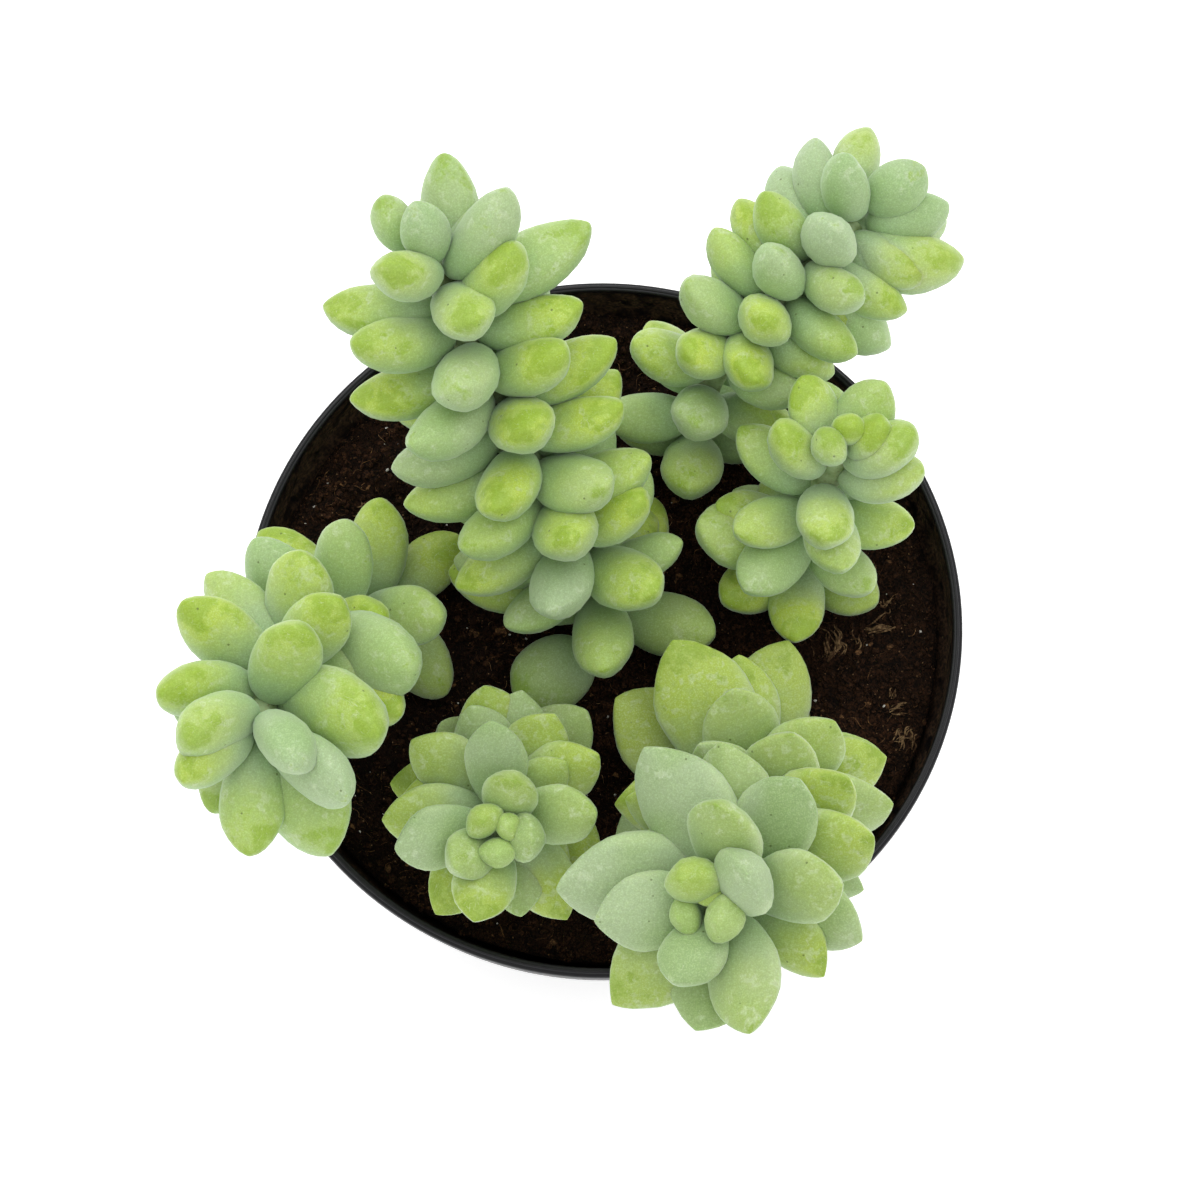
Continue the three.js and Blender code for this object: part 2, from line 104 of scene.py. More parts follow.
class Value:
    """What a node gives out. Sums are written with it as with plain numbers, and each makes a node."""

    def __init__(self, tree: "Tree", socket: bpy.types.NodeSocket) -> None:
        """Keeps the socket and the tree that it is in."""
        self.tree, self.socket = tree, socket

    def is_vector(self) -> bool:
        """Whether it is a vector, or a colour that can serve as one."""
        return self.socket.type in {"VECTOR", "RGBA"}

    def __add__(self, other: object) -> "Value":
        """The sum."""
        return self.tree.math("ADD", self, other)

    def __sub__(self, other: object) -> "Value":
        """The difference."""
        return self.tree.math("SUBTRACT", self, other)

    def __rsub__(self, other: object) -> "Value":
        """The difference from a plain number."""
        return self.tree.math("SUBTRACT", other, self)

    def __mul__(self, other: object) -> "Value":
        """The product, or a vector scaled by a number."""
        return self.tree.math("MULTIPLY", self, other)

    def __truediv__(self, other: object) -> "Value":
        """The quotient."""
        return self.tree.math("DIVIDE", self, other)


class Tree:
    """A node tree that is being built, with short ways to add nodes and to wire them."""

    def __init__(self, tree: bpy.types.NodeTree) -> None:
        """Starts with an emptied tree.

        Args:
            tree: The tree. It loses the nodes that it has.
        """
        self.tree = tree
        tree.nodes.clear()
        self.inputs: bpy.types.Node | None = None
        self.outputs: bpy.types.Node | None = None

    def sockets(self, takes: dict[str, float | str], gives: dict[str, str]) -> None:
        """Makes the sockets of a group.

        Args:
            takes: Input name to its value where it isn't wired, or to its kind, such as Vector.
            gives: Output name to its kind.
        """
        for name, value in takes.items():
            kind = value if isinstance(value, str) else "Int" if isinstance(value, int) else "Float"
            made = self.tree.interface.new_socket(name, in_out="INPUT", socket_type="NodeSocket" + kind)
            if not isinstance(value, str):
                made.default_value = value
        for name, kind in gives.items():
            self.tree.interface.new_socket(name, in_out="OUTPUT", socket_type="NodeSocket" + kind)
        self.inputs = self.tree.nodes.new("NodeGroupInput")
        self.outputs = self.tree.nodes.new("NodeGroupOutput")

    def take(self, name: str) -> Value:
        """The group's input of that name."""
        return Value(self, self.inputs.outputs[name])

    def give(self, name: str, value: Value) -> None:
        """Wires a value to the group's output of that name."""
        self.feed(self.outputs.inputs[name], value)

    def feed(self, socket: bpy.types.NodeSocket, value: object) -> None:
        """Wires a value to an input, or sets the input to a plain one.

        Args:
            socket: The input.
            value: What it takes.
        """
        if isinstance(value, Value):
            self.tree.links.new(value.socket, socket)
        else:
            socket.default_value = value

    def add(self, kind: str, values: dict | None = None, **settings: object) -> bpy.types.Node:
        """Adds a node.

        Args:
            kind: Its Blender class.
            values: Input name or number to what it takes.
            **settings: Its own settings, made before the inputs are.

        Returns:
            The node.
        """
        node = self.tree.nodes.new(kind)
        for name, setting in settings.items():
            setattr(node, name, setting)
        for key, value in (values or {}).items():
            self.feed(node.inputs[key], value)
        return node

    def out(self, kind: str, values: dict | None = None, key: int | str = 0, **settings: object) -> Value:
        """Adds a node and takes one of its outputs, the first unless a name or number says which."""
        return Value(self, self.add(kind, values, **settings).outputs[key])

    def outs(self, kind: str, values: dict | None = None, **settings: object) -> dict[str, Value]:
        """Adds a node and takes all of its outputs in use, by name."""
        node = self.add(kind, values, **settings)
        return {socket.name: Value(self, socket) for socket in node.outputs if socket.enabled}

    def math(self, operation: str, *values: object, clamp: bool = False) -> Value:
        """The result of a Math node, or of a Vector Math node where one of the values is a vector.

        Args:
            operation: Name of the operation.
            *values: What it works on, in order.
            clamp: Whether the result is kept between 0 and 1.

        Returns:
            The result.
        """
        are_vectors = [value.is_vector() if isinstance(value, Value) else isinstance(value, tuple)
                       for value in values]
        inputs = dict(enumerate(values))
        if not any(are_vectors):
            return self.out("ShaderNodeMath", inputs, operation=operation, use_clamp=clamp)
        if operation == "MULTIPLY" and not all(are_vectors):
            operation, inputs = "SCALE", {0: values[0], "Scale": values[1]}
        key = "Value" if operation in {"DOT_PRODUCT", "LENGTH"} else "Vector"
        return self.out("ShaderNodeVectorMath", inputs, key, operation=operation)

    def split(self, vector: Value) -> list[Value]:
        """The three parts of a vector."""
        return list(self.outs("ShaderNodeSeparateXYZ", {0: vector}).values())

    def ramp(self, value: Value, low: object, high: object) -> Value:
        """0 up to low, 1 past high and smooth between, for low under or over high."""
        return self.out("ShaderNodeMapRange", {"Value": value, "From Min": low, "From Max": high}, "Result",
                        interpolation_type="SMOOTHSTEP")

    def noise(self, place: Value, scale: float, detail: float = 2.0) -> Value:
        """A cloudy value around 0.5 at a place."""
        return self.out("ShaderNodeTexNoise", {"Vector": place, "Scale": scale, "Detail": detail})

    def blend(self, share: Value, first: object, second: object) -> Value:
        """The first colour, going over to the second by a share."""
        return self.out("ShaderNodeMix", {0: share, 6: first, 7: second}, 2, data_type="RGBA")

    def group(self, shared: bpy.types.NodeTree, values: dict) -> dict[str, Value]:
        """Places a shared group with its own values, and gives its outputs by name."""
        return self.outs("ShaderNodeGroup", values, node_tree=shared)

    def end(self, mesh: Value) -> None:
        """Ends a geometry tree, with the finish that it takes as Skin."""
        dressed = self.out("GeometryNodeSetMaterial", {"Geometry": mesh, "Material": self.take("Skin")})
        self.give("Geometry", dressed)


def geometry_tree(name: str, takes: dict[str, float | str]) -> Tree:
    """Starts a geometry tree that takes a mesh, the given inputs and a Skin, and gives a mesh.

    Args:
        name: Name of the tree.
        takes: Input name to its value where none is set, or to its kind.

    Returns:
        The tree, with its sockets only.
    """
    made = Tree(bpy.data.node_groups.new(name, "GeometryNodeTree"))
    made.sockets({"Geometry": "Geometry", **takes, "Skin": "Material"}, {"Geometry": "Geometry"})
    return made


class Surface(Tree):
    """The node tree of a new material, with the place on the piece that its patterns follow."""

    def __init__(self, name: str) -> None:
        """Starts a material of that name.

        Args:
            name: Name of the material.
        """
        self.material = bpy.data.materials.new(name)
        self.material.use_nodes = True
        super().__init__(self.material.node_tree)
        self.place = self.out("ShaderNodeTexCoord", key="Object")

    def facing(self) -> Value:
        """The direction that the surface faces."""
        return self.out("ShaderNodeNewGeometry", key="Normal")

    def shade(self, relief: Value, strength: float, depth: float, values: dict) -> bpy.types.Material:
        """Ends the tree in a shader.

        Args:
            relief: Height of the fine relief, from 0 to about 1.
            strength: How strongly the relief shows.
            depth: Depth of the relief in metres.
            values: Input name of the shader to what it takes.

        Returns:
            The material.
        """
        bump = self.out("ShaderNodeBump", {"Strength": strength, "Distance": depth, "Height": relief})
        shader = self.out("ShaderNodeBsdfPrincipled", {**values, "Normal": bump})
        self.add("ShaderNodeOutputMaterial", {0: shader})
        return self.material


# ------------------------------------------------------------------------------------------------ meshes


def finished_mesh(name: str, source: bpy.types.Object, tree: bpy.types.NodeTree,
                  values: dict) -> bpy.types.Object:
    """Runs a geometry tree on an object and keeps the result as a plain mesh.

    Args:
        name: Name of the piece.
        source: The object that the tree starts from. It is removed.
        tree: The geometry tree.
        values: Input name of the tree to its value.

    Returns:
        The piece, at the origin.
    """
    modifier = source.modifiers.new("made", "NODES")
    modifier.node_group = tree
    for item in tree.interface.items_tree:
        if item.in_out == "INPUT" and item.name in values:
            modifier[item.identifier] = values[item.name]
    graph = bpy.context.evaluated_depsgraph_get()
    graph.update()
    mesh = bpy.data.meshes.new_from_object(source.evaluated_get(graph), depsgraph=graph)
    bpy.data.objects.remove(source)
    return placed(name, mesh)


def placed(name: str, mesh: bpy.types.Mesh) -> bpy.types.Object:
    """Puts a mesh into the scene as an object of that name.

    Args:
        name: Name of the object.
        mesh: Its mesh, which takes that name too.

    Returns:
        The object, at the origin.
    """
    mesh.name = name
    piece = bpy.data.objects.new(name, mesh)
    bpy.context.scene.collection.objects.link(piece)
    return piece


def enrol(piece: bpy.types.Object, slot: str, *nodes: str) -> None:
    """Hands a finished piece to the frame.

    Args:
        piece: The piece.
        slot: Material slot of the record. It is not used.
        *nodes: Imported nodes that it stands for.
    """
    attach(piece, BODY)
    if nodes:
        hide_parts(*nodes)
    faces = sum(len(polygon.vertices) - 2 for polygon in piece.data.polygons)
    LOG.info("%s: %d triangles, stands for %s", piece.name, faces, ", ".join(nodes) or "nothing packed")


def mesh_of(name: str, points: np.ndarray, faces: list[tuple[int, ...]],
            smooth: bool = True) -> bpy.types.Mesh:
    """Makes a mesh from points and faces.

    Args:
        name: Name of the mesh.
        points: Its points.
        faces: Its faces as point numbers.
        smooth: Whether its faces are shaded smooth.

    Returns:
        The mesh.
    """
    mesh = bpy.data.meshes.new(name)
    mesh.from_pydata(points.tolist(), [], faces)
    mesh.polygons.foreach_set("use_smooth", [smooth] * len(mesh.polygons))
    mesh.update()
    return mesh


def facing_out(mesh: bpy.types.Mesh) -> bpy.types.Mesh:
    """Turns the faces of a closed mesh outwards.

    Args:
        mesh: The mesh.

    Returns:
        The same mesh.
    """
    work = bmesh.new()
    work.from_mesh(mesh)
    bmesh.ops.recalc_face_normals(work, faces=work.faces[:])
    work.to_mesh(mesh)
    work.free()
    return mesh


def circle(sides: int) -> tuple[np.ndarray, np.ndarray]:
    """X and y of points at even steps round a circle of radius 1."""
    angles = np.arange(sides) * 2 * math.pi / sides
    return np.cos(angles), np.sin(angles)


def bands(rings: int, sides: int) -> list[tuple[int, ...]]:
    """Four-sided faces between closed rings of points, each ring's points in a row.

    Args:
        rings: How many rings there are.
        sides: Points in each ring.

    Returns:
        The faces as point numbers.
    """
    faces = []
    for ring in range(rings - 1):
        low, high = ring * sides, (ring + 1) * sides
        for side in range(sides):
            following = (side + 1) % sides
            faces.append((low + side, low + following, high + following, high + side))
    return faces


def closed_mesh(name: str, rings: list[np.ndarray], first: Triple, last: Triple) -> bpy.types.Mesh:
    """A closed mesh from rings of points, with a fan of triangles at each end.

    Args:
        name: Name of the mesh.
        rings: Its rings in order, each of as many points.
        first: The point that closes the first ring.
        last: The point that closes the last ring.

    Returns:
        The mesh, which faces outwards.
    """
    sides = len(rings[0])
    points = np.concatenate([*rings, [first, last]])
    faces = bands(len(rings), sides)
    final = (len(rings) - 1) * sides
    start, end = final + sides, final + sides + 1
    for side in range(sides):
        following = (side + 1) % sides
        faces += [(following, side, start), (final + side, final + following, end)]
    return facing_out(mesh_of(name, points, faces))


# ------------------------------------------------------------------------------------------ growing rule


@dataclass(frozen=True)
class LeafRule:
    """How every leaf on the plant is bent, rooted and kept clear, as in the part's source.

    Attributes:
        curl: How far a leaf bends back towards the stalk along its length.
        golden_angle: Turn from one leaf to the next, in degrees.
        sink: How far out a leaf's root lies, as a share of the stalk's radius.
        crowding: How much closer together the newest leaves stand, as a share of the spacing.
        clearance: Least room between beads and under them, in millimetres.
        lip_berth: How far beside the lip a leaf already has to clear its top, in millimetres.
        stray_turn: Range of the random turn, in degrees.
        stray_lean: Range of the random lean, in degrees.
        stray_length: Range of the random length, as a share.
        stray_width: Range of the random width, as a share.
        lift: Step by which a leaf is lifted off what lies under it.
        lift_steps: How many such steps it may take.
        droops_from: Share of the stalk from the tip past which the lean goes over to the foot's.
        bud_width: Power of a leaf's growth that its width follows.
        beads: Place of each bead along the leaf and its radius, as shares of the leaf's sizes.
        give_way: Turns, leans and scales that are tried in order until a leaf is clear.
    """

    curl: float = math.radians(28.0)
    golden_angle: float = 137.508
    sink: float = 0.6
    crowding: float = 0.35
    clearance: float = 0.7
    lip_berth: float = 3.0
    stray_turn: float = 14.0
    stray_lean: float = 10.0
    stray_length: float = 0.12
    stray_width: float = 0.1
    lift: float = math.radians(3.0)
    lift_steps: int = 24
    droops_from: float = 0.55
    bud_width: float = 0.6
    beads: tuple[tuple[float, float], ...] = ((0.25, 0.42), (0.5, 0.5), (0.75, 0.44), (0.93, 0.25))
    give_way: tuple[Triple, ...] = (
        (0, 0, 1), (0, -8, 1), (0, 8, 1), (10, 0, 1), (-10, 0, 1), (0, -16, 1),
        (12, -8, 1), (-12, -8, 1), (16, 8, 1), (-16, 8, 1), (18, -16, 0.95), (-18, -16, 0.95),
        (0, -26, 0.95), (18, -26, 0.9), (-18, -26, 0.9), (0, -36, 0.85), (0, 0, 0.75), (0, -20, 0.75),
    )


RULE = LeafRule()
TRACE_STEPS = 120
STALK_BEAD_STRIDE = 4
LEAF_VECTORS = ("root", "along", "radial")
LEAF_SIZES = ("lean", "length", "width", "thickness")
UNTRIMMED: Triple = (0, 0, 1)


def draw(index: int, seed: int, salt: int) -> float:
    """A repeatable draw from -0.5 to 0.5 for one leaf; salt tells draws for the same leaf apart."""
    wave = math.sin(index * 12.9898 + seed * 78.233 + salt * 37.719) * 43758.5453
    return wave - math.floor(wave) - 0.5


@dataclass
class Leaf:
    """One leaf: its root, its stem's directions there, its lean and its size, in millimetres."""

    root: np.ndarray
    along: np.ndarray
    radial: np.ndarray
    lean: float
    length: float
    width: float
    thickness: float
    age: float = 0.5
    tone: float = 0.5

    @property
    def side(self) -> np.ndarray:
        """The direction across the leaf."""
        return np.cross(self.along, self.radial)

    def middle(self, share: float) -> tuple[np.ndarray, np.ndarray, np.ndarray]:
        """Place, direction and normal on the bent middle line at a share of the length.

        Args:
            share: Share of the length, 0 at the root and 1 at the tip.

        Returns:
            The place, and the direction and normal there.
        """
        first = self.lean + RULE.curl / 2
        angle = first - RULE.curl * share
        bend = self.length / RULE.curl
        place = (self.root + self.radial * bend * (math.cos(angle) - math.cos(first))
                 + self.along * bend * (math.sin(first) - math.sin(angle)))
        direction = self.radial * math.sin(angle) + self.along * math.cos(angle)
        return place, direction, np.cross(self.side, direction)


@dataclass
class Beads:
    """Ellipsoids that stand for leaves or stalks in tests for clearance."""

    places: np.ndarray
    axes: np.ndarray

    @classmethod
    def of(cls, leaf: Leaf) -> "Beads":
        """The beads of a leaf.

        Args:
            leaf: The leaf.

        Returns:
            Its beads, from the root end to the tip.
        """
        places, axes = [], []
        for along, across in RULE.beads:
            place, direction, normal = leaf.middle(along)
            places.append(place)
            thick = leaf.thickness * across
            axes.append([leaf.side * leaf.width * across, normal * thick, direction * thick])
        return cls(np.array(places), np.array(axes))

    def joined(self, other: "Beads") -> "Beads":
        """These beads and the other ones."""
        return Beads(np.concatenate([self.places, other.places]), np.concatenate([self.axes, other.axes]))

    def are_clear(self, other: "Beads") -> bool:
        """Whether none of these comes near one of the others.

        Args:
            other: The other beads.

        Returns:
            True if every pair keeps the clearance.
        """
        gap = other.places[None] - self.places[:, None]
        distance = np.linalg.norm(gap, axis=2)
        gap = gap / np.where(distance > 0, distance, 1)[..., None]
        mine = np.linalg.norm(np.einsum("baj,bnj->bna", self.axes, gap), axis=2)
        theirs = np.linalg.norm(np.einsum("naj,bnj->bna", other.axes, gap), axis=2)
        return bool(np.all(distance > mine + theirs + RULE.clearance))


@dataclass(frozen=True)
class Ground:
    """What lies under the leaves: the peat's uneven top and the pot's lip, in millimetres."""

    level: float = 84.0
    waviness: float = 0.5
    gap: float = 0.3
    lip_inside: float = 52.5
    lip_outside: float = 54.0
    lip_height: float = 90.0

    def soil_top(self, x: float, y: float) -> float:
        """Height of the uneven soil top at a place.

        Args:
            x: X of the place.
            y: Y of the place.

        Returns:
            The height.
        """
        broad = math.sin(0.13 * x + 1.3) * math.cos(0.11 * y - 0.4)
        middling = math.sin(0.31 * x - 0.23 * y)
        fine = math.cos(0.47 * y + 0.19 * x + 0.8)
        return self.level + self.waviness * (broad + middling + fine)

    def height(self, x: float, y: float) -> float:
        """Height of what a leaf must clear at a place.

        Args:
            x: X of the place.
            y: Y of the place.

        Returns:
            Height of the soil, of the lip, or 0 outside the pot.
        """
        radius = math.hypot(x, y)
        if radius < self.lip_inside - RULE.lip_berth:
            return self.soil_top(x, y)
        return self.lip_height if radius < self.lip_outside + RULE.lip_berth else 0.0

    def is_under(self, leaf: Leaf) -> bool:
        """Whether the leaf's underside is clear of what lies under it.

        Args:
            leaf: The leaf.

        Returns:
            True if all its beads are clear.
        """
        beads = Beads.of(leaf)
        for place, axes in zip(beads.places, beads.axes):
            for share in (-0.8, 0.0, 0.8):
                at = place + axes[0] * share
                drop = math.hypot(axes[1][2], axes[2][2]) * math.sqrt(1 - share * share)
                if at[2] - drop <= self.height(at[0], at[1]) + RULE.clearance:
                    return False
        return True


GROUND = Ground()


class Habit(Enum):
    """How a leaf is shaped."""

    BEAN = "plump bean with a blunt tip"
    POINTED = "fleshy, flattened and pointed"


@dataclass
class Stem:
    """One leafy stem, by the same numbers as in the part's source, in millimetres and degrees.

    Attributes:
        name: Its name.
        route: The four points of the cubic curve that the stalk follows.
        stalk: Radius of the stalk.
        leaf: Length and width of a grown leaf, and its thickness as a share of the width.
        spacing: Length of stalk from one leaf to the next.
        thins: After how many leaves the spacing widens, and by what factor.
        young: How many leaves from the tip are still growing.
        newest: Size of the newest leaf as a share of a grown one.
        turn: 1 or -1 for the way that the spiral of leaves winds.
        start: Bearing of the newest leaf.
        lean: How far leaves lean away from the stalk at the tip, when grown and at the foot.
        opens: How many leaves it takes to open from the tip's lean to a grown one's.
        bare: Length of stalk at the foot that has no leaves.
        seed: What its leaves' repeatable draws start from.
        habit: How its leaves are shaped.
        trim: Leaf number to the turn, lean and scale by which that leaf differs from the rule.
    """

    name: str
    route: tuple[Triple, Triple, Triple, Triple]
    stalk: float
    leaf: Triple
    spacing: float
    thins: tuple[int, float]
    young: float
    newest: float
    turn: int
    start: float
    lean: Triple
    opens: float
    bare: float
    seed: int
    habit: Habit
    trim: dict[int, tuple[float, ...]] = field(default_factory=dict)

    def __post_init__(self) -> None:
        """Traces the stalk: distances, places, directions and arrows across it that don't twist round it."""
        knots = np.array(self.route, float)
        shares = np.linspace(0, 1, TRACE_STEPS + 1)[:, None]
        rest = 1 - shares
        self.places = (rest**3 * knots[0] + 3 * rest**2 * shares * knots[1]
                       + 3 * rest * shares**2 * knots[2] + shares**3 * knots[3])
        slope = (rest**2 * (knots[1] - knots[0]) + 2 * rest * shares * (knots[2] - knots[1])
                 + shares**2 * (knots[3] - knots[2]))
        self.alongs = slope / np.linalg.norm(slope, axis=1)[:, None]
        steps = np.linalg.norm(np.diff(self.places, axis=0), axis=1)
        self.distances = np.concatenate([[0], np.cumsum(steps)])
        across = np.array([1.0, 0.0, 0.0])
        arrows = []
        for along in self.alongs:
            across = across - across.dot(along) * along
            across = across / np.linalg.norm(across)
            arrows.append(across)
        self.acrosses = np.array(arrows)

    def at(self, distance: float) -> tuple[np.ndarray, np.ndarray, np.ndarray]:
        """Place, direction and arrow across the stalk at a distance along it.

        Args:
            distance: Distance from the foot of the stalk.

        Returns:
            The place, the direction and the arrow across.
        """
        place, along, across = (
            np.array([np.interp(distance, self.distances, table[:, k]) for k in range(3)])
            for table in (self.places, self.alongs, self.acrosses))
        along = along / np.linalg.norm(along)
        across = across - across.dot(along) * along
        return place, along, across / np.linalg.norm(across)

    def leaf_at(self, index: int, turn_by: float, lean_by: float, size_by: float) -> Leaf | None:
        """Leaf number index before it is kept clear of anything, or None on the bare foot of the stalk.

        Args:
            index: Number of the leaf, 0 at the tip.
            turn_by: Degrees by which it turns round the stalk.
            lean_by: Degrees by which it leans further out.
            size_by: Factor by which it grows.

        Returns:
            The leaf, or None.
        """
        length = self.distances[-1]
        trim = self.trim.get(index, ())
        trim_turn, trim_lean, trim_size = (*trim, *UNTRIMMED[len(trim):])
        crowding = RULE.crowding * self.young * (math.exp(-index / self.young) - 1)
        dense_leaves, spread = self.thins
        from_tip = self.spacing * (index + crowding + (spread - 1) * max(0, index - dense_leaves))
        if length - from_tip < self.bare:
            return None
        grown = mix(self.newest, 1, ease(index, -0.5, self.young))
        down = from_tip / (length - self.bare)
        tip_lean, full_lean, foot_lean = self.lean
        lean = (mix(tip_lean, full_lean, ease(index, 0, self.opens))
                + (foot_lean - full_lean) * ease(down, RULE.droops_from, 1)
                + RULE.stray_lean * draw(index, self.seed, 2) + trim_lean + lean_by)
        bearing = math.radians(self.start + self.turn * RULE.golden_angle * index
                               + RULE.stray_turn * draw(index, self.seed, 1) + trim_turn + turn_by)
        size = trim_size * size_by
        full_length, full_width, flatness = self.leaf
        width = full_width * grown**RULE.bud_width * (1 + RULE.stray_width * draw(index, self.seed, 4)) * size
        place, along, across = self.at(length - from_tip)
        radial = across * math.cos(bearing) + np.cross(along, across) * math.sin(bearing)
        return Leaf(
            root=place + radial * self.stalk * RULE.sink, along=along, radial=radial, lean=math.radians(lean),
            length=full_length * grown * (1 + RULE.stray_length * draw(index, self.seed, 3)) * size,
            width=width, thickness=width * mix(1, flatness, grown), age=down,
            tone=draw(index, self.seed, 5) + 0.5,
        )

    def grow(self, others: Beads) -> list[Leaf]:
        """The leaves, each lifted off what lies under it and turned clear of the other stems.

        Args:
            others: Beads of the other stems and of the loose leaf.

        Returns:
            The leaves, from the tip down.
        """
        leaves = []
        index = 0
        while self.leaf_at(index, 0, 0, 1):
            for turn, lean, size in RULE.give_way:
                leaf = self.leaf_at(index, turn, lean, size)
                for _ in range(RULE.lift_steps):
                    if GROUND.is_under(leaf):
                        break
                    leaf.lean -= RULE.lift
                if GROUND.is_under(leaf) and Beads.of(leaf).are_clear(others):
                    leaves.append(leaf)
                    break
            index += 1
        return leaves

    def stalk_beads(self) -> Beads:
        """The stalk as balls."""
        places = self.places[::STALK_BEAD_STRIDE]
        return Beads(places, np.tile(np.eye(3) * self.stalk, (len(places), 1, 1)))


@dataclass(frozen=True)
class LooseLeaf:
    """The leaf that lies on the soil: where its root is, the bearing it points to, and its size."""

    root: tuple[float, float] = (-2.0, -3.5)
    bearing: float = math.radians(217.0)
    size: Triple = (14.0, 11.5, 0.75)
    tilt: float = math.radians(4.0)

    def leaf(self) -> Leaf:
        """The leaf, let down until it almost touches the soil.

        Returns:
            The leaf.
        """
        length, width, flatness = self.size
        radial = np.array([math.cos(self.bearing), math.sin(self.bearing), 0.0])
        leaf = Leaf(root=np.array([*self.root, GROUND.lip_height]), along=np.array([0.0, 0.0, 1.0]),
                    radial=radial, lean=math.radians(90) - self.tilt, length=length, width=width,
                    thickness=width * flatness, age=0.9, tone=0.35)
        beads = Beads.of(leaf)
        under = [place[2] - np.linalg.norm(axes[1]) - GROUND.soil_top(place[0], place[1])
                 for place, axes in zip(beads.places, beads.axes)]
        leaf.root[2] -= min(under) - GROUND.gap
        return leaf


# --------------------------------------------------------------------------------------------- finishes

GREY_BLOOM = srgb(176, 192, 158)
BLOOM_CRUMBS = srgb(200, 214, 180)
NEWEST = srgb(166, 194, 96)
ROOT_END = srgb(164, 194, 152)
# painted sheen: the pale colour laid along the leaf margins
MARGIN_SHEEN = srgb(206, 224, 170)
SCRATCH = srgb(214, 224, 188)
POWDER = srgb(198, 216, 176)
SPECK = srgb(88, 100, 48)


class LeafSkinGroup:
    """The look of a leaf's skin: waxy bloom, the green where it is rubbed off, and fine marks."""

    def __init__(self) -> None:
        """Builds the group, which gives Colour, Roughness and Height."""
        self.made = made = Tree(bpy.data.node_groups.new("leaf_skin", "ShaderNodeTree"))
        made.sockets(
            {"Place": "Vector", "Local": "Vector", "Tone": 0.5, "Age": 0.5, "Up": 0.5, "Bloom": "Color",
             "Glow": "Color", "Rubbed": "Color", "Old": "Color", "Yellow": 0.5, "Reach": 0.7, "Margin": 0.0,
             "Heart": 0.0},
            {"Colour": "Color", "Roughness": "Float", "Height": "Float"})
        self.place, self.tone, self.age = (made.take(name) for name in ("Place", "Tone", "Age"))
        across, _, self.along = made.split(made.take("Local"))
        self.aside = made.math("ABSOLUTE", across)
        self.exposed = made.ramp(made.take("Up"), -0.25, 0.75)
        clouds, self.ragged, self.grain, self.powder = (
            made.noise(self.place, scale, detail)
            for scale, detail in ((190.0, 3.0), (640.0, 5.0), (1700.0, 4.0), (4600.0, 2.0)))
        self.uneven = clouds - 0.5

        colour = self.waxed()
        colour, patch = self.rubbed(colour)
        colour = self.aged(colour)
        made.give("Colour", self.marked(colour, patch))
        made.give("Roughness", self.grain * 0.12 + 0.5 - patch * 0.14)
        made.give("Height", self.powder * 0.4 + (self.grain + self.ragged) * 0.35 - patch * 0.3)

    def waxed(self) -> Value:
        """The bloom, with a soft yellow-green glow over the exposed outer half of the leaf.

        Returns:
            The colour.
        """
        made = self.made
        grown = made.ramp(self.age, 0.05, 0.45) * 0.85 + 0.4
        wanted = made.take("Yellow") * grown + (self.tone - 0.5) * 1.5
        outer = made.ramp(self.along + self.uneven * 0.6, 0.12, 0.9)
        glow = made.math("MULTIPLY", outer * self.exposed, wanted, clamp=True) * (self.ragged + 0.45)
        greyer = made.ramp(made.noise(self.place, 70.0, 1.0), 0.42, 0.62)
        bloom = made.blend(greyer * 0.5, made.take("Bloom"), GREY_BLOOM)
        return made.blend(glow, bloom, made.take("Glow"))

    def rubbed(self, colour: Value) -> tuple[Value, Value]:
        """Rubs the bloom off towards the tip, with a soft ragged edge and pale crumbs along it.

        Args:
            colour: The colour so far.

        Returns:
            The colour, and how far the bloom is rubbed off.
        """
        made = self.made
        beside = made.ramp(self.aside, 0.3, 0.5)
        worn = (self.along + self.uneven * 0.9 + (self.ragged - 0.5) * 0.75 + (self.grain - 0.5) * 0.4
                + (self.tone - 0.5) * 0.4 + (self.exposed - 1.0) * 0.4 + beside * 0.14)
        past = worn - made.take("Reach")
        patch = made.ramp(past, -0.08, 0.16)
        crumbs = made.ramp(past, -0.3, -0.02) * (1.0 - patch) * made.ramp(self.ragged, 0.5, 0.62)
        colour = made.blend(crumbs * 0.45, colour, BLOOM_CRUMBS)
        return made.blend(patch * 0.68, colour, made.take("Rubbed")), patch

    def aged(self, colour: Value) -> Value:
        """Greens a rosette's newest leaves, darkens the oldest ones, and pales root ends and margins.

        Args:
            colour: The colour so far.

        Returns:
            The colour.
        """
        made = self.made
        colour = made.blend(made.ramp(self.age, 0.07, 0.035) * made.take("Heart"), colour, NEWEST)
        colour = made.blend(made.ramp(self.age, 0.8, 1.25), colour, made.take("Old"))
        colour = made.blend(made.ramp(self.along, 0.55, 0.1) * 0.4, colour, ROOT_END)
        # painted sheen: a pale band along the leaf's side edges stands for the bloom's sheen at grazing
        # angles
        return made.blend(made.ramp(self.aside, 0.36, 0.5) * made.take("Margin"), colour, MARGIN_SHEEN)

    def marked(self, colour: Value, patch: Value) -> Value:
        """Adds whitish lengthwise scratches, pale powder on whole bloom, grain and sparse dark specks.

        Args:
            colour: The colour so far.
            patch: How far the bloom is rubbed off.

        Returns:
            The colour.
        """
        made = self.made
        drawn = made.take("Local") * (9.0, 9.0, 2.6) + self.place * 260.0
        line = made.ramp(made.math("ABSOLUTE", made.noise(drawn, 1.0) - 0.5), 0.014, 0.002)
        line = line * made.ramp(self.ragged, 0.5, 0.62) * made.ramp(self.along, 0.35, 0.8)
        colour = made.blend(line * 0.35, colour, SCRATCH)
        colour = made.blend(made.ramp(self.powder, 0.48, 0.68) * (0.2 - patch * 0.14), colour, POWDER)

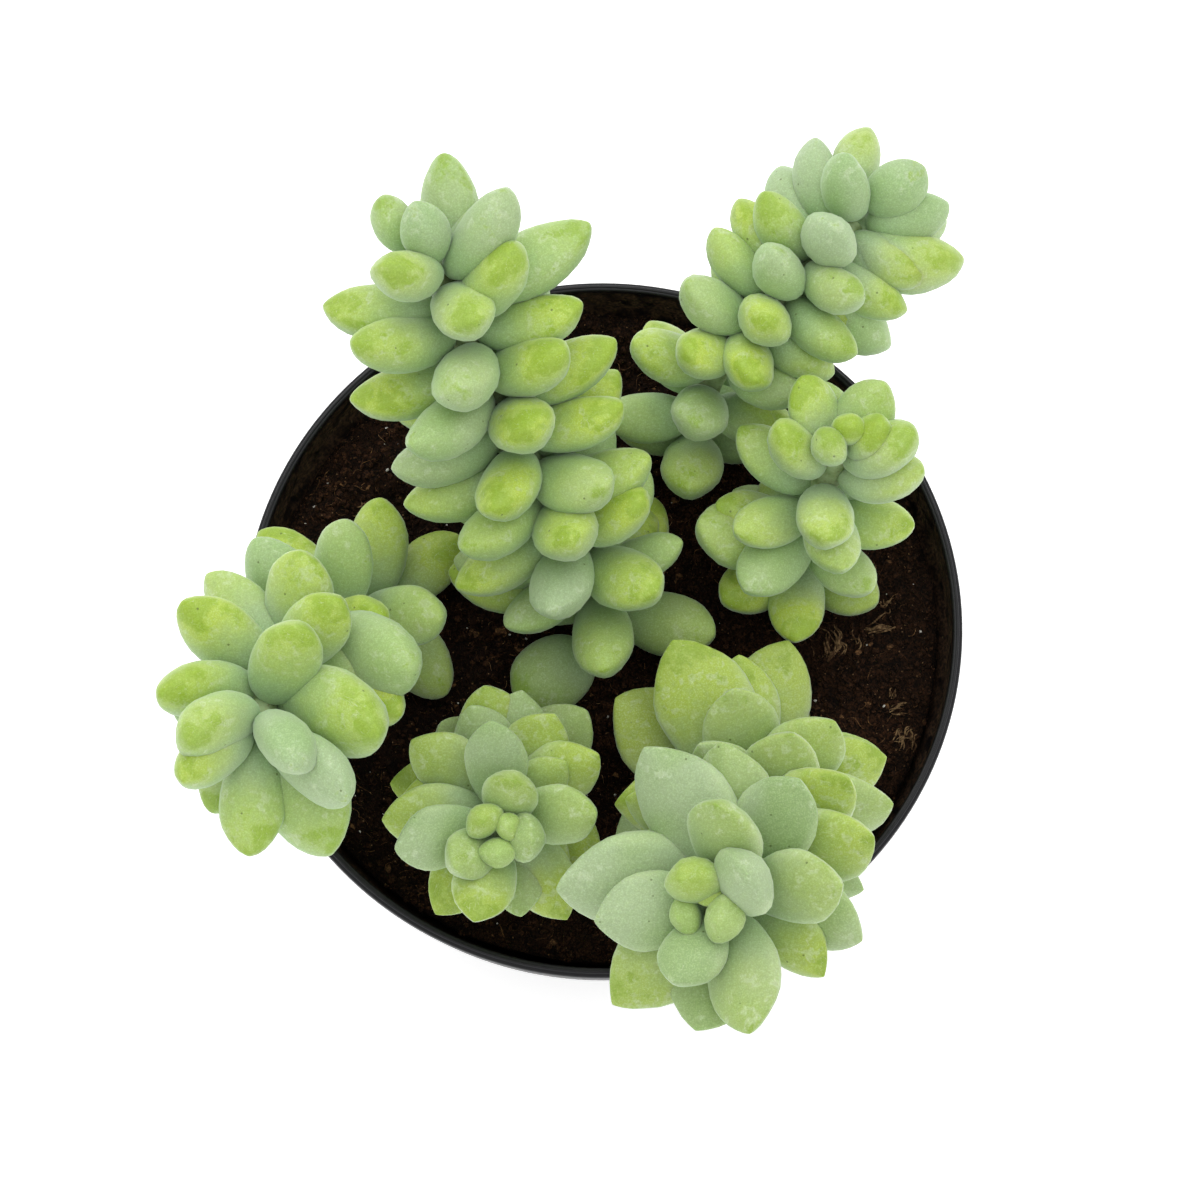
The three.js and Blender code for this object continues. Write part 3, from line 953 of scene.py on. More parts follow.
        lightness = (self.powder - 0.5) * 0.42 + ((self.grain - 0.5) * 0.26 + 0.965)
        colour = made.out("ShaderNodeHueSaturation", {"Color": colour, "Value": lightness})
        cells = made.outs("ShaderNodeTexVoronoi", {"Vector": self.place, "Scale": 420.0, "Randomness": 1.0})
        chosen = made.math("GREATER_THAN", made.out("ShaderNodeSeparateColor", {0: cells["Color"]}), 0.72)
        return made.blend(made.ramp(cells["Distance"], 0.1, 0.05) * chosen * 0.7, colour, SPECK)


@dataclass(frozen=True)
class LeafSkin:
    """The skin of one kind of leaf."""

    name: str
    bloom: Colour
    glow: Colour
    rubbed: Colour
    old: Colour
    yellow: float
    reach: float
    margin: float = 0.0
    heart: float = 0.0

    def material(self, skin: bpy.types.NodeTree) -> bpy.types.Material:
        """Builds the material.

        Args:
            skin: The shared leaf skin group.

        Returns:
            The material.
        """
        made = Surface(self.name)
        stored = {name: made.outs("ShaderNodeAttribute", attribute_name="leaf_" + name)
                  for name in ("local", "tone", "age")}
        look = made.group(skin, {
            "Place": made.place, "Local": stored["local"]["Vector"], "Tone": stored["tone"]["Fac"],
            "Age": stored["age"]["Fac"], "Up": made.split(made.facing())[2], "Bloom": self.bloom,
            "Glow": self.glow, "Rubbed": self.rubbed, "Old": self.old, "Yellow": self.yellow,
            "Reach": self.reach, "Margin": self.margin, "Heart": self.heart})
        return made.shade(look["Height"], 0.45, 0.00012, {
            "Base Color": look["Colour"], "Roughness": look["Roughness"], "IOR": 1.4,
            "Specular IOR Level": 0.42, "Subsurface Weight": 0.22, "Subsurface Radius": (0.6, 1.0, 0.25),
            "Subsurface Scale": 0.0016, "Sheen Weight": 0.3, "Sheen Roughness": 0.4,
            "Sheen Tint": (0.88, 1.0, 0.92, 1.0)})


TAIL_SKIN = LeafSkin(
    "tail_leaf_skin", bloom=srgb(157, 186, 128), glow=srgb(184, 206, 76), rubbed=srgb(138, 170, 52),
    old=srgb(130, 148, 66), yellow=0.6, reach=0.93)
ROSETTE_SKIN = LeafSkin(
    "rosette_leaf_skin", bloom=srgb(151, 177, 118), glow=srgb(170, 191, 78), rubbed=srgb(132, 160, 56),
    old=srgb(144, 158, 78), yellow=0.62, reach=1.0, margin=0.32, heart=0.55)
LOOSE_SKIN = LeafSkin(
    "loose_leaf_skin", bloom=srgb(152, 180, 116), glow=srgb(150, 178, 72), rubbed=srgb(128, 160, 52),
    old=srgb(124, 144, 70), yellow=0.6, reach=0.8)


def stalk_material() -> bpy.types.Material:
    """Builds the skin of the stalks: pale green with faint leaf scars.

    Returns:
        The material.
    """
    made = Surface("stalk_skin")
    pale = made.ramp(made.noise(made.place, 420.0, 4.0), 0.35, 0.65)
    colour = made.blend(pale, srgb(120, 138, 88), srgb(158, 178, 132))
    grain = made.noise(made.place, 1800.0, 3.0)
    colour = made.blend(made.ramp(grain, 0.55, 0.7) * 0.5, colour, srgb(104, 92, 62))
    return made.shade(grain, 0.5, 0.0002, {
        "Base Color": colour, "Roughness": 0.6, "Subsurface Weight": 0.1, "Subsurface Scale": 0.001})


def grit_group() -> bpy.types.NodeTree:
    """Builds fine grit, which peat, its crumbs and the dust on the pot share.

    Returns:
        The group, which gives Clumps, Grains, Specks and Height.
    """
    made = Tree(bpy.data.node_groups.new("grit", "ShaderNodeTree"))
    made.sockets({"Place": "Vector", "Size": 600.0},
                 {"Clumps": "Float", "Grains": "Float", "Specks": "Float", "Height": "Float"})
    scaled = made.take("Place") * made.take("Size")
    clumps, fine = made.noise(scaled, 0.5, 5.0), made.noise(scaled, 2.6, 5.0)
    cells = made.outs("ShaderNodeTexVoronoi", {"Vector": scaled, "Scale": 1.6})
    chosen = made.math("GREATER_THAN", made.out("ShaderNodeSeparateColor", {0: cells["Color"]}, 1), 0.9)
    made.give("Clumps", clumps)
    made.give("Grains", fine)
    made.give("Specks", made.ramp(cells["Distance"], 0.3, 0.12) * chosen)
    made.give("Height", clumps * 0.7 + fine * 0.6)
    return made.tree


@dataclass(frozen=True)
class Earth:
    """A finish of peat or of what lies in it."""

    name: str
    dark: Colour
    light: Colour
    fleck: Colour
    size: float
    bump: float
    roughness: float
    darker_left: float = 0.1

    def material(self, grit: bpy.types.NodeTree) -> bpy.types.Material:
        """Builds the material from the shared grit group.

        Args:
            grit: The shared grit group.

        Returns:
            The material.
        """
        made = Surface(self.name)
        look = made.group(grit, {"Place": made.place, "Size": self.size})
        mottle = made.ramp(look["Grains"] * 0.6 + look["Clumps"] * 0.4, 0.4, 0.66)
        colour = made.blend(mottle, self.dark, self.light)
        # the left half is darker
        darker_left = made.ramp(made.split(made.place)[0], 0.02, -0.02)
        colour = made.blend(darker_left * self.darker_left, colour, self.dark)
        # painted shade: dark blotches stand for the shade in hollows of the peat
        painted_hollow_shade = made.ramp(made.noise(made.place, 55.0, 3.0), 0.6, 0.42)
        colour = made.blend(painted_hollow_shade * 0.4, colour, self.dark)
        colour = made.blend(look["Specks"], colour, self.fleck)
        return made.shade(look["Height"], 0.9, self.bump, {
            "Base Color": colour, "Roughness": self.roughness, "Specular IOR Level": 0.12})


PEAT = Earth("peat", dark=srgb(12, 6, 3), light=srgb(59, 36, 21), fleck=srgb(112, 84, 58),
             size=1000.0, bump=0.0014, roughness=0.95, darker_left=0.4)
CRUMB = Earth("peat_crumb", dark=srgb(13, 7, 4), light=srgb(74, 47, 29), fleck=srgb(130, 102, 74),
              size=1300.0, bump=0.0003, roughness=0.9)
BARK = Earth("bark", dark=srgb(52, 34, 21), light=srgb(132, 96, 62), fleck=srgb(150, 116, 80),
             size=1200.0, bump=0.0003, roughness=0.85)
STRAW = Earth("straw", dark=srgb(96, 70, 46), light=srgb(166, 134, 96), fleck=srgb(186, 160, 124),
              size=1500.0, bump=0.0001, roughness=0.8)
HUSK = Earth("old_fibre", dark=srgb(66, 46, 30), light=srgb(166, 136, 98), fleck=srgb(170, 146, 108),
             size=700.0, bump=0.0001, roughness=0.85)
PERLITE = Earth("perlite", dark=srgb(176, 172, 164), light=srgb(232, 230, 224), fleck=srgb(246, 245, 242),
                size=1600.0, bump=0.0002, roughness=0.75)


@dataclass(frozen=True)
class PotPlastic:
    """Moulded black plastic with a soft sheen, fine flow marks, scuffs, and peat dust on the inner wall."""

    black: Colour = srgb(14, 14, 18)
    scuffed: Colour = srgb(58, 60, 68)
    soiled: tuple[Colour, Colour] = (srgb(30, 20, 14), srgb(92, 68, 50))
    crumb: Colour = srgb(110, 92, 70)
    dust_top: tuple[float, float] = (0.09, 0.0875)

    def material(self, grit: bpy.types.NodeTree) -> bpy.types.Material:
        """Builds the material from the shared grit group.

        Args:
            grit: The shared grit group.

        Returns:
            The material.
        """
        made = Surface("pot_plastic")
        look = made.group(grit, {"Place": made.place, "Size": 800.0})
        # the inner wall faces the pot's upright axis
        outwards = made.math("DOT_PRODUCT", made.place * (1.0, 1.0, 0.0), made.facing())
        below_lip = made.ramp(made.split(made.place)[2], *self.dust_top)
        inside = made.math("LESS_THAN", outwards, -0.02) * below_lip
        dusty = inside * made.ramp(look["Clumps"], 0.3, 0.56)
        marks = made.noise(made.place * (1.0, 1.0, 0.15), 900.0, 3.0)
        colour = made.blend(made.ramp(marks, 0.66, 0.8) * 0.25, self.black, self.scuffed)
        soil = made.blend(made.ramp(look["Grains"], 0.36, 0.64), *self.soiled)
        colour = made.blend(dusty * 0.9, colour, soil)
        colour = made.blend(look["Specks"] * inside, colour, self.crumb)
        return made.shade(made.noise(made.place, 2200.0), 0.25, 0.00008, {
            "Base Color": colour, "Roughness": marks * 0.2 + dusty * 0.3 + 0.3, "IOR": 1.5,
            "Specular IOR Level": 0.3})


# --------------------------------------------------------------------------------------------- the plant


@dataclass(frozen=True)
class LeafShape:
    """The form of a leaf of unit width, thickness and length, as rings of points along it.

    Attributes:
        widest: Where it is widest, as a share of the length.
        swell: Power by which its width grows from the root. A low one makes the root end full.
        tip: The two powers by which its width draws in to the tip.
        outer: How far the outer side bulges.
        inner: How far the inner side bulges.
        soft_edge: How thin the edges get towards the tip.
        rings: How many rings it has.
        sides: Points in each ring.
    """

    widest: float
    swell: float
    tip: tuple[float, float]
    outer: float
    inner: float
    soft_edge: float
    rings: int = 15
    sides: int = 18

    def half_width(self, share: float) -> float:
        """Half width at a share of the length.

        Args:
            share: Share of the length, 0 at the root.

        Returns:
            The half width, where the whole leaf is 1 wide.
        """
        if share < self.widest:
            return 0.5 * (1 - (1 - share / self.widest) ** 2) ** self.swell
        beyond = (share - self.widest) / (1 - self.widest)
        bluntness, draw_in = self.tip
        return 0.5 * (1 - beyond**bluntness) ** draw_in

    def ring(self, share: float) -> np.ndarray:
        """The closed section at a share of the length, with its outer side towards +Y.

        Args:
            share: Share of the length, 0 at the root.

        Returns:
            The points of the section, in a row.
        """
        half = self.half_width(share)
        x, y = circle(self.sides)
        y = np.where(y > 0, y * self.outer, y * self.inner)
        # towards the tip the section draws in to soft edges at both sides and a low ridge between
        y = y * (1 - mix(0.0, self.soft_edge, ease(share, 0.3, 0.95)) * np.abs(x) ** 1.5)
        return np.stack([x * half, y * half, np.full(self.sides, share)], axis=1)

    def mesh(self) -> bpy.types.Mesh:
        """The unit leaf, with its points also kept in the attribute leaf_local.

        Returns:
            The mesh.
        """
        shares = [(1 - math.cos(math.pi * k / (self.rings + 1))) / 2 for k in range(1, self.rings + 1)]
        mesh = closed_mesh("unit_leaf", [self.ring(share) for share in shares], (0, 0, 0), (0, 0, 1))
        points = np.array([vertex.co for vertex in mesh.vertices])
        mesh.attributes.new("leaf_local", "FLOAT_VECTOR", "POINT").data.foreach_set("vector", points.ravel())
        return mesh


LEAF_SHAPES = {
    Habit.BEAN: LeafShape(widest=0.53, swell=0.46, tip=(2.15, 0.67), outer=1.04, inner=0.86, soft_edge=0.3),
    Habit.POINTED: LeafShape(widest=0.55, swell=0.6, tip=(2.0, 0.84), outer=1.1, inner=0.78, soft_edge=0.42),
}


def leafing_tree() -> bpy.types.NodeTree:
    """Builds the geometry tree that sets a unit leaf on every point and bends it along its middle line.

    Returns:
        The tree, with inputs Leaf, Curl, Unit, Dents and Skin.
    """
    made = geometry_tree("leafing", {"Leaf": "Object", "Curl": RULE.curl, "Unit": MM, "Dents": 0.0})
    leaf = made.out("GeometryNodeObjectInfo", {"Object": made.take("Leaf")}, "Geometry")
    copies = made.out("GeometryNodeInstanceOnPoints", {"Points": made.take("Geometry"), "Instance": leaf})
    real = made.out("GeometryNodeRealizeInstances", {"Geometry": copies})

    stored = {}
    for kind, names in (("FLOAT_VECTOR", ("local", *LEAF_VECTORS)), ("FLOAT", LEAF_SIZES)):
        for name in names:
            read = made.outs("GeometryNodeInputNamedAttribute", {"Name": "leaf_" + name}, data_type=kind)
            stored[name] = read["Attribute"]
    radial, along = stored["radial"], stored["along"]
    across, through, share = made.split(stored["local"])
    side = made.math("CROSS_PRODUCT", along, radial)

    # the middle line is an arc that starts at the lean and curls back towards the stalk
    curl = made.take("Curl")
    first = stored["lean"] + curl / 2.0
    angle = first - curl * share
    bend = stored["length"] / curl
    sine, cosine = made.math("SINE", angle), made.math("COSINE", angle)
    outwards = bend * (cosine - made.math("COSINE", first))
    upwards = bend * (made.math("SINE", first) - sine)
    normal = made.math("CROSS_PRODUCT", side, radial * sine + along * cosine)
    place = (stored["root"] + radial * outwards + along * upwards + side * (stored["width"] * across)
             + normal * (stored["thickness"] * through))

    # shallow dents, so that no two leaves are quite alike
    clouds = made.outs("ShaderNodeTexNoise", {"Vector": place, "Scale": 0.16, "Detail": 1.0})["Color"]
    place = place + (clouds - (0.5, 0.5, 0.5)) * made.take("Dents")
    moved = made.out("GeometryNodeSetPosition", {"Geometry": real, "Position": place * made.take("Unit")})
    made.end(made.out("GeometryNodeSetShadeSmooth", {"Geometry": moved}))
    return made.tree


def stalk_tree() -> bpy.types.NodeTree:
    """Builds the geometry tree that turns a line of points into a closed round stalk.

    Returns:
        The tree, with inputs Radius, Sides and Skin.
    """
    made = geometry_tree("stalk", {"Radius": 0.002, "Sides": 14})
    line = made.out("GeometryNodeMeshToCurve", {"Mesh": made.take("Geometry")})
    # knobs where leaves sat make the stalk a little uneven
    clouds = made.out("ShaderNodeTexNoise", {"Scale": 700.0, "Detail": 1.0})
    radius = made.out("GeometryNodeSetCurveRadius", {
        "Curve": line, "Radius": (clouds * 0.24 + 0.86) * made.take("Radius")})
    section = made.out("GeometryNodeCurvePrimitiveCircle", {"Resolution": made.take("Sides"), "Radius": 1.0})
    tube = made.out("GeometryNodeCurveToMesh", {
        "Curve": radius, "Profile Curve": section, "Scale": made.out("GeometryNodeInputRadius"),
        "Fill Caps": True})
    made.end(made.out("GeometryNodeSetShadeSmooth", {"Geometry": tube}))
    return made.tree


def leaf_points(leaves: list[Leaf]) -> bpy.types.Object:
    """A cloud of points, one at each leaf's root, that holds what the leafing tree reads.

    Args:
        leaves: The leaves.

    Returns:
        The cloud of points.
    """
    mesh = bpy.data.meshes.new("leaf_points")
    mesh.from_pydata([tuple(leaf.root) for leaf in leaves], [], [])
    for name in LEAF_VECTORS:
        store = mesh.attributes.new("leaf_" + name, "FLOAT_VECTOR", "POINT")
        store.data.foreach_set("vector", np.array([getattr(leaf, name) for leaf in leaves]).ravel())
    for name in (*LEAF_SIZES, "tone", "age"):
        store = mesh.attributes.new("leaf_" + name, "FLOAT", "POINT")
        store.data.foreach_set("value", [float(getattr(leaf, name)) for leaf in leaves])
    return placed("leaf_points", mesh)


@dataclass
class Plant:
    """The whole plant: six leafy stems and the loose leaf, in millimetres."""

    stems: list[Stem]
    loose: LooseLeaf = LooseLeaf()
    dents: float = 0.7
    planting: float = 7.0
    slimmer: float = 0.97
    buds: int = 4
    plumper: float = 1.1

    def build(self) -> None:
        """Grows the leaves in the same order as the part's source does, and makes every piece."""
        skin = LeafSkinGroup().made.tree
        self.leafing, self.stalks, self.stalk_skin = leafing_tree(), stalk_tree(), stalk_material()
        skins = {Habit.BEAN: TAIL_SKIN.material(skin), Habit.POINTED: ROSETTE_SKIN.material(skin)}
        units = {habit: placed("unit_" + habit.name.lower(), shape.mesh())
                 for habit, shape in LEAF_SHAPES.items()}
        lying = self.loose.leaf()
        grown = Beads.of(lying)
        for stem in self.stems:
            others = grown
            for other in self.stems:
                if other is not stem:
                    others = others.joined(other.stalk_beads())
            leaves = stem.grow(others)
            for leaf in leaves:
                grown = grown.joined(Beads.of(leaf))
            if stem.habit is Habit.POINTED:
                for leaf in leaves[:self.buds]:
                    leaf.width *= self.plumper
                    leaf.thickness *= self.plumper
            slot = "tail_leaf" if stem.habit is Habit.BEAN else "rosette_leaf"
            piece = self.leafed("leaves_" + stem.name, leaves, units[stem.habit], skins[stem.habit])
            enrol(piece, slot, "stem_" + stem.name)
            enrol(self.stalk(stem), slot)
        piece = self.leafed("loose_leaf", [lying], units[Habit.BEAN], LOOSE_SKIN.material(skin))
        enrol(piece, "loose_leaf", "fallen_leaf")
        for unit in units.values():
            bpy.data.objects.remove(unit)

    def leafed(self, name: str, leaves: list[Leaf], unit: bpy.types.Object,
               skin: bpy.types.Material) -> bpy.types.Object:
        """The leaves of one stem as a piece.

        Args:
            name: Name of the piece.
            leaves: Its leaves.
            unit: The leaf of unit size.
            skin: Its material.

        Returns:
            The piece.
        """
        values = {"Leaf": unit, "Dents": self.dents, "Skin": skin}
        return finished_mesh(name, leaf_points(leaves), self.leafing, values)

    def stalk(self, stem: Stem) -> bpy.types.Object:
        """The stalk of one stem as a piece, from under the soil to just short of its tip.

        Args:
            stem: The stem.

        Returns:
            The piece.
        """
        short = stem.distances[-1] - stem.stalk
        line = [stem.places[0] - stem.alongs[0] * self.planting]
        line += [place for place, distance in zip(stem.places[::2], stem.distances[::2]) if distance < short]
        mesh = bpy.data.meshes.new("stalk_line")
        edges = [(k, k + 1) for k in range(len(line) - 1)]
        mesh.from_pydata([tuple(point * MM) for point in line], edges, [])
        values = {"Radius": stem.stalk * self.slimmer * MM, "Skin": self.stalk_skin}
        return finished_mesh("stalk_" + stem.name, placed("stalk_line", mesh), self.stalks, values)


STEMS = [
    Stem("crown", ((19.5, -26.1, 84), (23, -24, 107.5), (26, -43.5, 105), (14.5, -51.4, 126.5)),
         stalk=2.6,
         leaf=(18.9, 11.7, 0.62), spacing=1.12, thins=(40, 1), young=7.2, newest=0.16,
         turn=1, start=101, lean=(20, 79, 97), opens=12.9, bare=5, seed=4, habit=Habit.POINTED,
         trim={
             0: (-11,), 1: (-31,), 2: (-17,), 3: (-27,), 4: (-18,), 5: (-11,), 6: (0, 7), 7: (-27,),
             8: (-21,), 9: (-22, 4, 1.1), 11: (-33, 10, 1.19), 12: (19, 10, 0.83), 13: (-8,),
             14: (-46, -22, 1.3), 15: (-11,), 16: (-26, 15, 1.06), 17: (-5, -44, 1.3), 18: (-16,),
             20: (31, 16, 0.78), 21: (0, 0, 0.8), 23: (32,), 26: (5,), 28: (32,), 29: (0, 0, 0.8),
             31: (23,), 33: (66,), 34: (9, -8, 0.98), 36: (18,), 37: (-31, -3, 1.28), 39: (33,),
             42: (-45, -16, 1.14), 44: (30, 3, 0.86), 45: (-25, -20, 1.22),
         }),
    Stem("pup", ((-14.6, -25.4, 84), (-13.6, -24.5, 97.5), (-14.8, -34.5, 102.6), (-15, -38.2, 115.5)),
         stalk=2,
         leaf=(16, 9.5, 0.64), spacing=1.23, thins=(40, 1), young=8, newest=0.25,
         turn=-1, start=37, lean=(16, 74, 82), opens=11.8, bare=3, seed=5, habit=Habit.POINTED,
         trim={
             0: (0, -8), 1: (9,), 2: (3,), 3: (14,), 4: (10,), 5: (4,), 6: (-37,), 7: (34,), 9: (0, 3),
             10: (-6,), 11: (-23,), 12: (-4,), 13: (0, 0, 0.8), 14: (12, -21, 0.98), 16: (40,),
             17: (-45,), 18: (-22,), 20: (-52,), 21: (59,), 23: (-17, -12, 1.1), 25: (-19, -9, 0.99),
             26: (-10, -25, 1.15), 28: (0, -36),
         }),
    Stem("tall", ((1.5, 2.3, 84), (-3.1, 4, 110.9), (-17.3, 25.8, 121.8), (-24.6, 40.8, 141.9)),
         stalk=2.3,
         leaf=(17.1, 9.6, 0.86), spacing=1.37, thins=(46, 1.6), young=4.7, newest=0.6,
         turn=1, start=161, lean=(12, 83, 86), opens=15.6, bare=3, seed=1, habit=Habit.BEAN,
         trim={
             0: (13,), 2: (-60, 44, 0.93), 3: (41, 29, 0.97), 4: (4, 29, 1.04), 5: (-66,),
             6: (40, 44, 0.96), 7: (-21, 44, 1.2), 8: (11, 22, 0.97), 9: (28,), 11: (0, -5),
             12: (0, 22), 14: (0, 4), 17: (3,), 19: (-9,), 20: (-16, 12, 1.05), 22: (0, -5), 24: (-11,),
             25: (0, 11), 27: (-4,), 29: (18,), 30: (0, 4), 32: (8,), 33: (-16,), 35: (0, -8),
             37: (0, 6), 38: (0, -16), 40: (13,), 41: (0, 0, 0.9), 43: (13,), 44: (-25, 30, 1.01),
             45: (0, 0, 0.85), 46: (0, 0, 0.8), 47: (40, -11, 1.19), 48: (0, -6),
         }),
    Stem("short", ((29.7, 9.1, 84), (28.7, 9.1, 101.2), (34.4, 18.5, 119.5), (34.6, 17.7, 122.5)),
         stalk=2,
         leaf=(13.4, 8.5, 0.85), spacing=1.3, thins=(26, 1.5), young=4.4, newest=0.42,
         turn=1, start=79, lean=(16, 81, 90), opens=11.6, bare=3, seed=3, habit=Habit.BEAN,
         trim={
             0: (0, -4), 1: (0, 5), 2: (0, -3), 3: (0, 32), 4: (72,), 5: (0, -14), 6: (4,), 7: (27,),
             8: (0, -22), 9: (32,), 10: (33, 27, 1.05), 11: (0, -3), 12: (-9,), 14: (3,), 15: (0, -5),
             16: (0, 44), 17: (-21, 14, 1.12), 20: (0, -5), 22: (-36, -9, 1.3), 23: (0, 44), 25: (-8,),
             27: (17,), 28: (0, -22),
         }),
    Stem("arching", ((15.2, 24.7, 84), (12.1, 35.5, 106.2), (19.1, 31.3, 122.3), (38.4, 54.2, 122)),
         stalk=2,
         leaf=(13.5, 8.7, 0.86), spacing=1, thins=(30, 2.3), young=1.5, newest=0.85,
         turn=-1, start=253, lean=(28, 83, 81), opens=6.9, bare=4, seed=2, habit=Habit.BEAN,
         trim={
             0: (0, 16), 1: (25,), 2: (-17,), 3: (7, 25, 0.95), 4: (-50, -20, 1.26), 5: (33,),
             6: (0, -26), 7: (-43, -32, 1.3), 8: (0, 10), 9: (21, -11, 1.15), 10: (13,), 11: (-5,),
             12: (-42, 7, 1.3), 13: (10,), 14: (12,), 15: (0, 0, 0.8), 18: (10,), 19: (0, 4),
             23: (0, 4), 24: (-11,), 26: (-15,), 27: (0, 0, 0.8), 29: (0, -7), 31: (-5,), 32: (14,),
             34: (0, -19), 39: (-34, -15, 1.08),
         }),
    Stem("left", ((-30.6, 4.7, 84), (-38.5, -0.7, 96.9), (-50.1, -12.5, 117.6), (-48.1, -27.6, 127.5)),
         stalk=2.2,
         leaf=(16.7, 9.7, 0.82), spacing=1.26, thins=(24, 1.7), young=3.1, newest=0.85,
         turn=-1, start=308, lean=(10, 81, 89), opens=6.4, bare=4, seed=6, habit=Habit.BEAN,
         trim={
             0: (45, 33, 1.11), 1: (-3, 27, 0.96), 2: (0, -8), 3: (4,), 4: (10, -19, 1.04),
             5: (-51, -21, 1.3), 6: (30, -20, 0.91), 9: (0, -27), 10: (-8, -30, 1.3), 12: (25,),
             13: (0, -44), 14: (0, -41), 15: (-4,), 17: (0, 30), 18: (0, 0, 0.8), 20: (-5,),
             21: (34, -12, 1.12), 23: (-21, -12, 1.3), 25: (0, 10), 26: (41, -19, 0.88), 28: (13,),
             31: (0, -8), 33: (-13,), 34: (0, 8), 35: (-135, 30, 0.95),
         }),
]


# ----------------------------------------------------------------------------------------------- the pot


@dataclass
class Pot:
    """The thin moulded nursery pot, in millimetres.

    Attributes:
        lip_radius: Radius over the lip.
        height: Height of the pot.
        foot_radius: Radius of its foot.
        wall: Thickness of the wall.
        floor: Thickness of the floor.
        lip_wall: Thickness of the band round the mouth.
        band_depth: Height of that band.
        shoulder: How far the wall steps in under the band.
        band_draw: How far the band draws in from the lip to its lower edge.
        round_: Size that the rounded edges go by.
        drain_holes: How many drain holes there are.
        drain_radius: Radius of a drain hole.
        drain_ring: How far the middle of a drain hole lies from the pot's.
        sides: Points in each ring round the pot.
        sharp_from: Angle from which an edge is shaded sharp.
    """

    lip_radius: float = 54.0
    height: float = 90.0
    foot_radius: float = 36.5
    wall: float = 1.2
    floor: float = 1.6
    lip_wall: float = 1.5
    band_depth: float = 9.0
    shoulder: float = 1.4
    band_draw: float = 1.15
    round_: float = 0.6
    drain_holes: int = 6
    drain_radius: float = 4.0
    drain_ring: float = 29.0
    sides: int = 180
    sharp_from: float = math.radians(38.0)

    @property
    def band_foot(self) -> float:
        """Height of the lower edge of the band round the mouth."""
        return self.height - self.band_depth

    @property
    def band_inside(self) -> float:
        """Inner radius of the band."""
        return self.lip_radius - self.lip_wall

    def wall_inside(self, height: float) -> float:
        """Inside radius of the wall below the band at a height."""
        return mix(self.foot_radius - self.wall, self.band_inside - self.shoulder, height / self.band_foot)

    def profile(self) -> list[tuple[float, float]]:
        """The turned outline, as radius and height, from the underside round the lip to the floor's top.

        Returns:
            The points of the outline, in order.
        """
        top = self.wall_inside(self.band_foot)
        foot = 2 * self.round_
        outline = [(self.drain_ring, 0.0)]
        outline += arc(self.foot_radius - foot, foot, foot, -90, 0, 5)
        outline += [
            (mix(self.foot_radius, top + self.wall, share), mix(foot, self.band_foot - self.round_, share))
            for share in (0.02, 0.25, 0.5, 0.75, 0.985)]
        outline += arc(self.lip_radius - self.band_draw - 0.35, self.band_foot + 0.35, 0.35, -90, 0, 3)
        # a low step runs round the outside just under the lip, and both edges of the lip are rounded
        outline += [(self.lip_radius - 0.3, self.height - 2.6), (self.lip_radius, self.height - 1.6)]
        outline += arc(self.lip_radius - 0.5, self.height - 0.9, 0.5, 0, 60, 4)
        outline += [(self.lip_radius - 0.5, self.height - 0.38)]
        outline += arc(self.lip_radius - 0.8, self.height - 0.3, 0.3, 25, 90, 4)
        outline += [(self.band_inside + 0.55, self.height - 0.06)]
        outline += arc(self.band_inside + 0.4, self.height - 0.6, 0.4, 70, 180, 4)
        outline += [(self.band_inside - 0.1, mix(self.height, self.band_foot, 0.5)),
                    (self.band_inside - self.round_ / 2, self.band_foot + self.wall)]
        outline += [(top, self.band_foot - self.round_)]
        outline += [(self.wall_inside(height), height)
                    for height in (60.0, 40.0, 20.0, self.floor + self.round_)]
        outline += [(self.wall_inside(self.floor) - self.round_, self.floor), (self.drain_ring, self.floor)]
        return outline

    def build(self, grit: bpy.types.NodeTree) -> None:
        """Turns the outline, drills the drain holes and dresses the pot.

        Args:
            grit: The shared grit group.
        """
        x, y = circle(self.sides)
        rings = [np.stack([radius * x, radius * y, np.full(self.sides, height)], axis=1) * MM
                 for radius, height in self.profile()]
        shell = placed("pot_shell", closed_mesh("pot_shell", rings, (0, 0, 0), (0, 0, self.floor * MM)))
        drills = placed("drills", self.drills())
        cut = shell.modifiers.new("drain_holes", "BOOLEAN")
        cut.operation, cut.object, cut.solver = "DIFFERENCE", drills, "EXACT"
        graph = bpy.context.evaluated_depsgraph_get()
        mesh = bpy.data.meshes.new_from_object(shell.evaluated_get(graph), depsgraph=graph)
        bpy.data.objects.remove(shell)
        bpy.data.objects.remove(drills)
        piece = placed("nursery_pot", mesh)
        mesh.materials.clear()
        mesh.materials.append(PotPlastic().material(grit))
        mesh.polygons.foreach_set("use_smooth", [True] * len(mesh.polygons))
        mesh.set_sharp_from_angle(angle=self.sharp_from)
        enrol(piece, "pot", "pot")

    def drills(self) -> bpy.types.Mesh:
        """The round bars that the drain holes are cut with.

        Returns:
            The bars, as one mesh.
        """
        work = bmesh.new()
        for number in range(self.drain_holes):
            bearing = number / self.drain_holes * 2 * math.pi
            radius = self.drain_radius * MM
            bar = bmesh.ops.create_cone(work, cap_ends=True, segments=32, radius1=radius, radius2=radius,
                                        depth=4 * self.floor * MM)
            x, y = self.drain_ring * math.cos(bearing), self.drain_ring * math.sin(bearing)
            bmesh.ops.translate(work, verts=bar["verts"], vec=Vector((x, y, self.floor / 2)) * MM)
        mesh = bpy.data.meshes.new("drills")
        work.to_mesh(mesh)
        work.free()
        return mesh


def arc(x: float, y: float, radius: float, first: float, last: float,
        steps: int) -> list[tuple[float, float]]:
    """Points on an arc round (x, y), from one angle to another in degrees."""
    angles = [math.radians(mix(first, last, k / steps)) for k in range(steps + 1)]
    return [(x + radius * math.cos(angle), y + radius * math.sin(angle)) for angle in angles]


# ---------------------------------------------------------------------------------------------- the peat


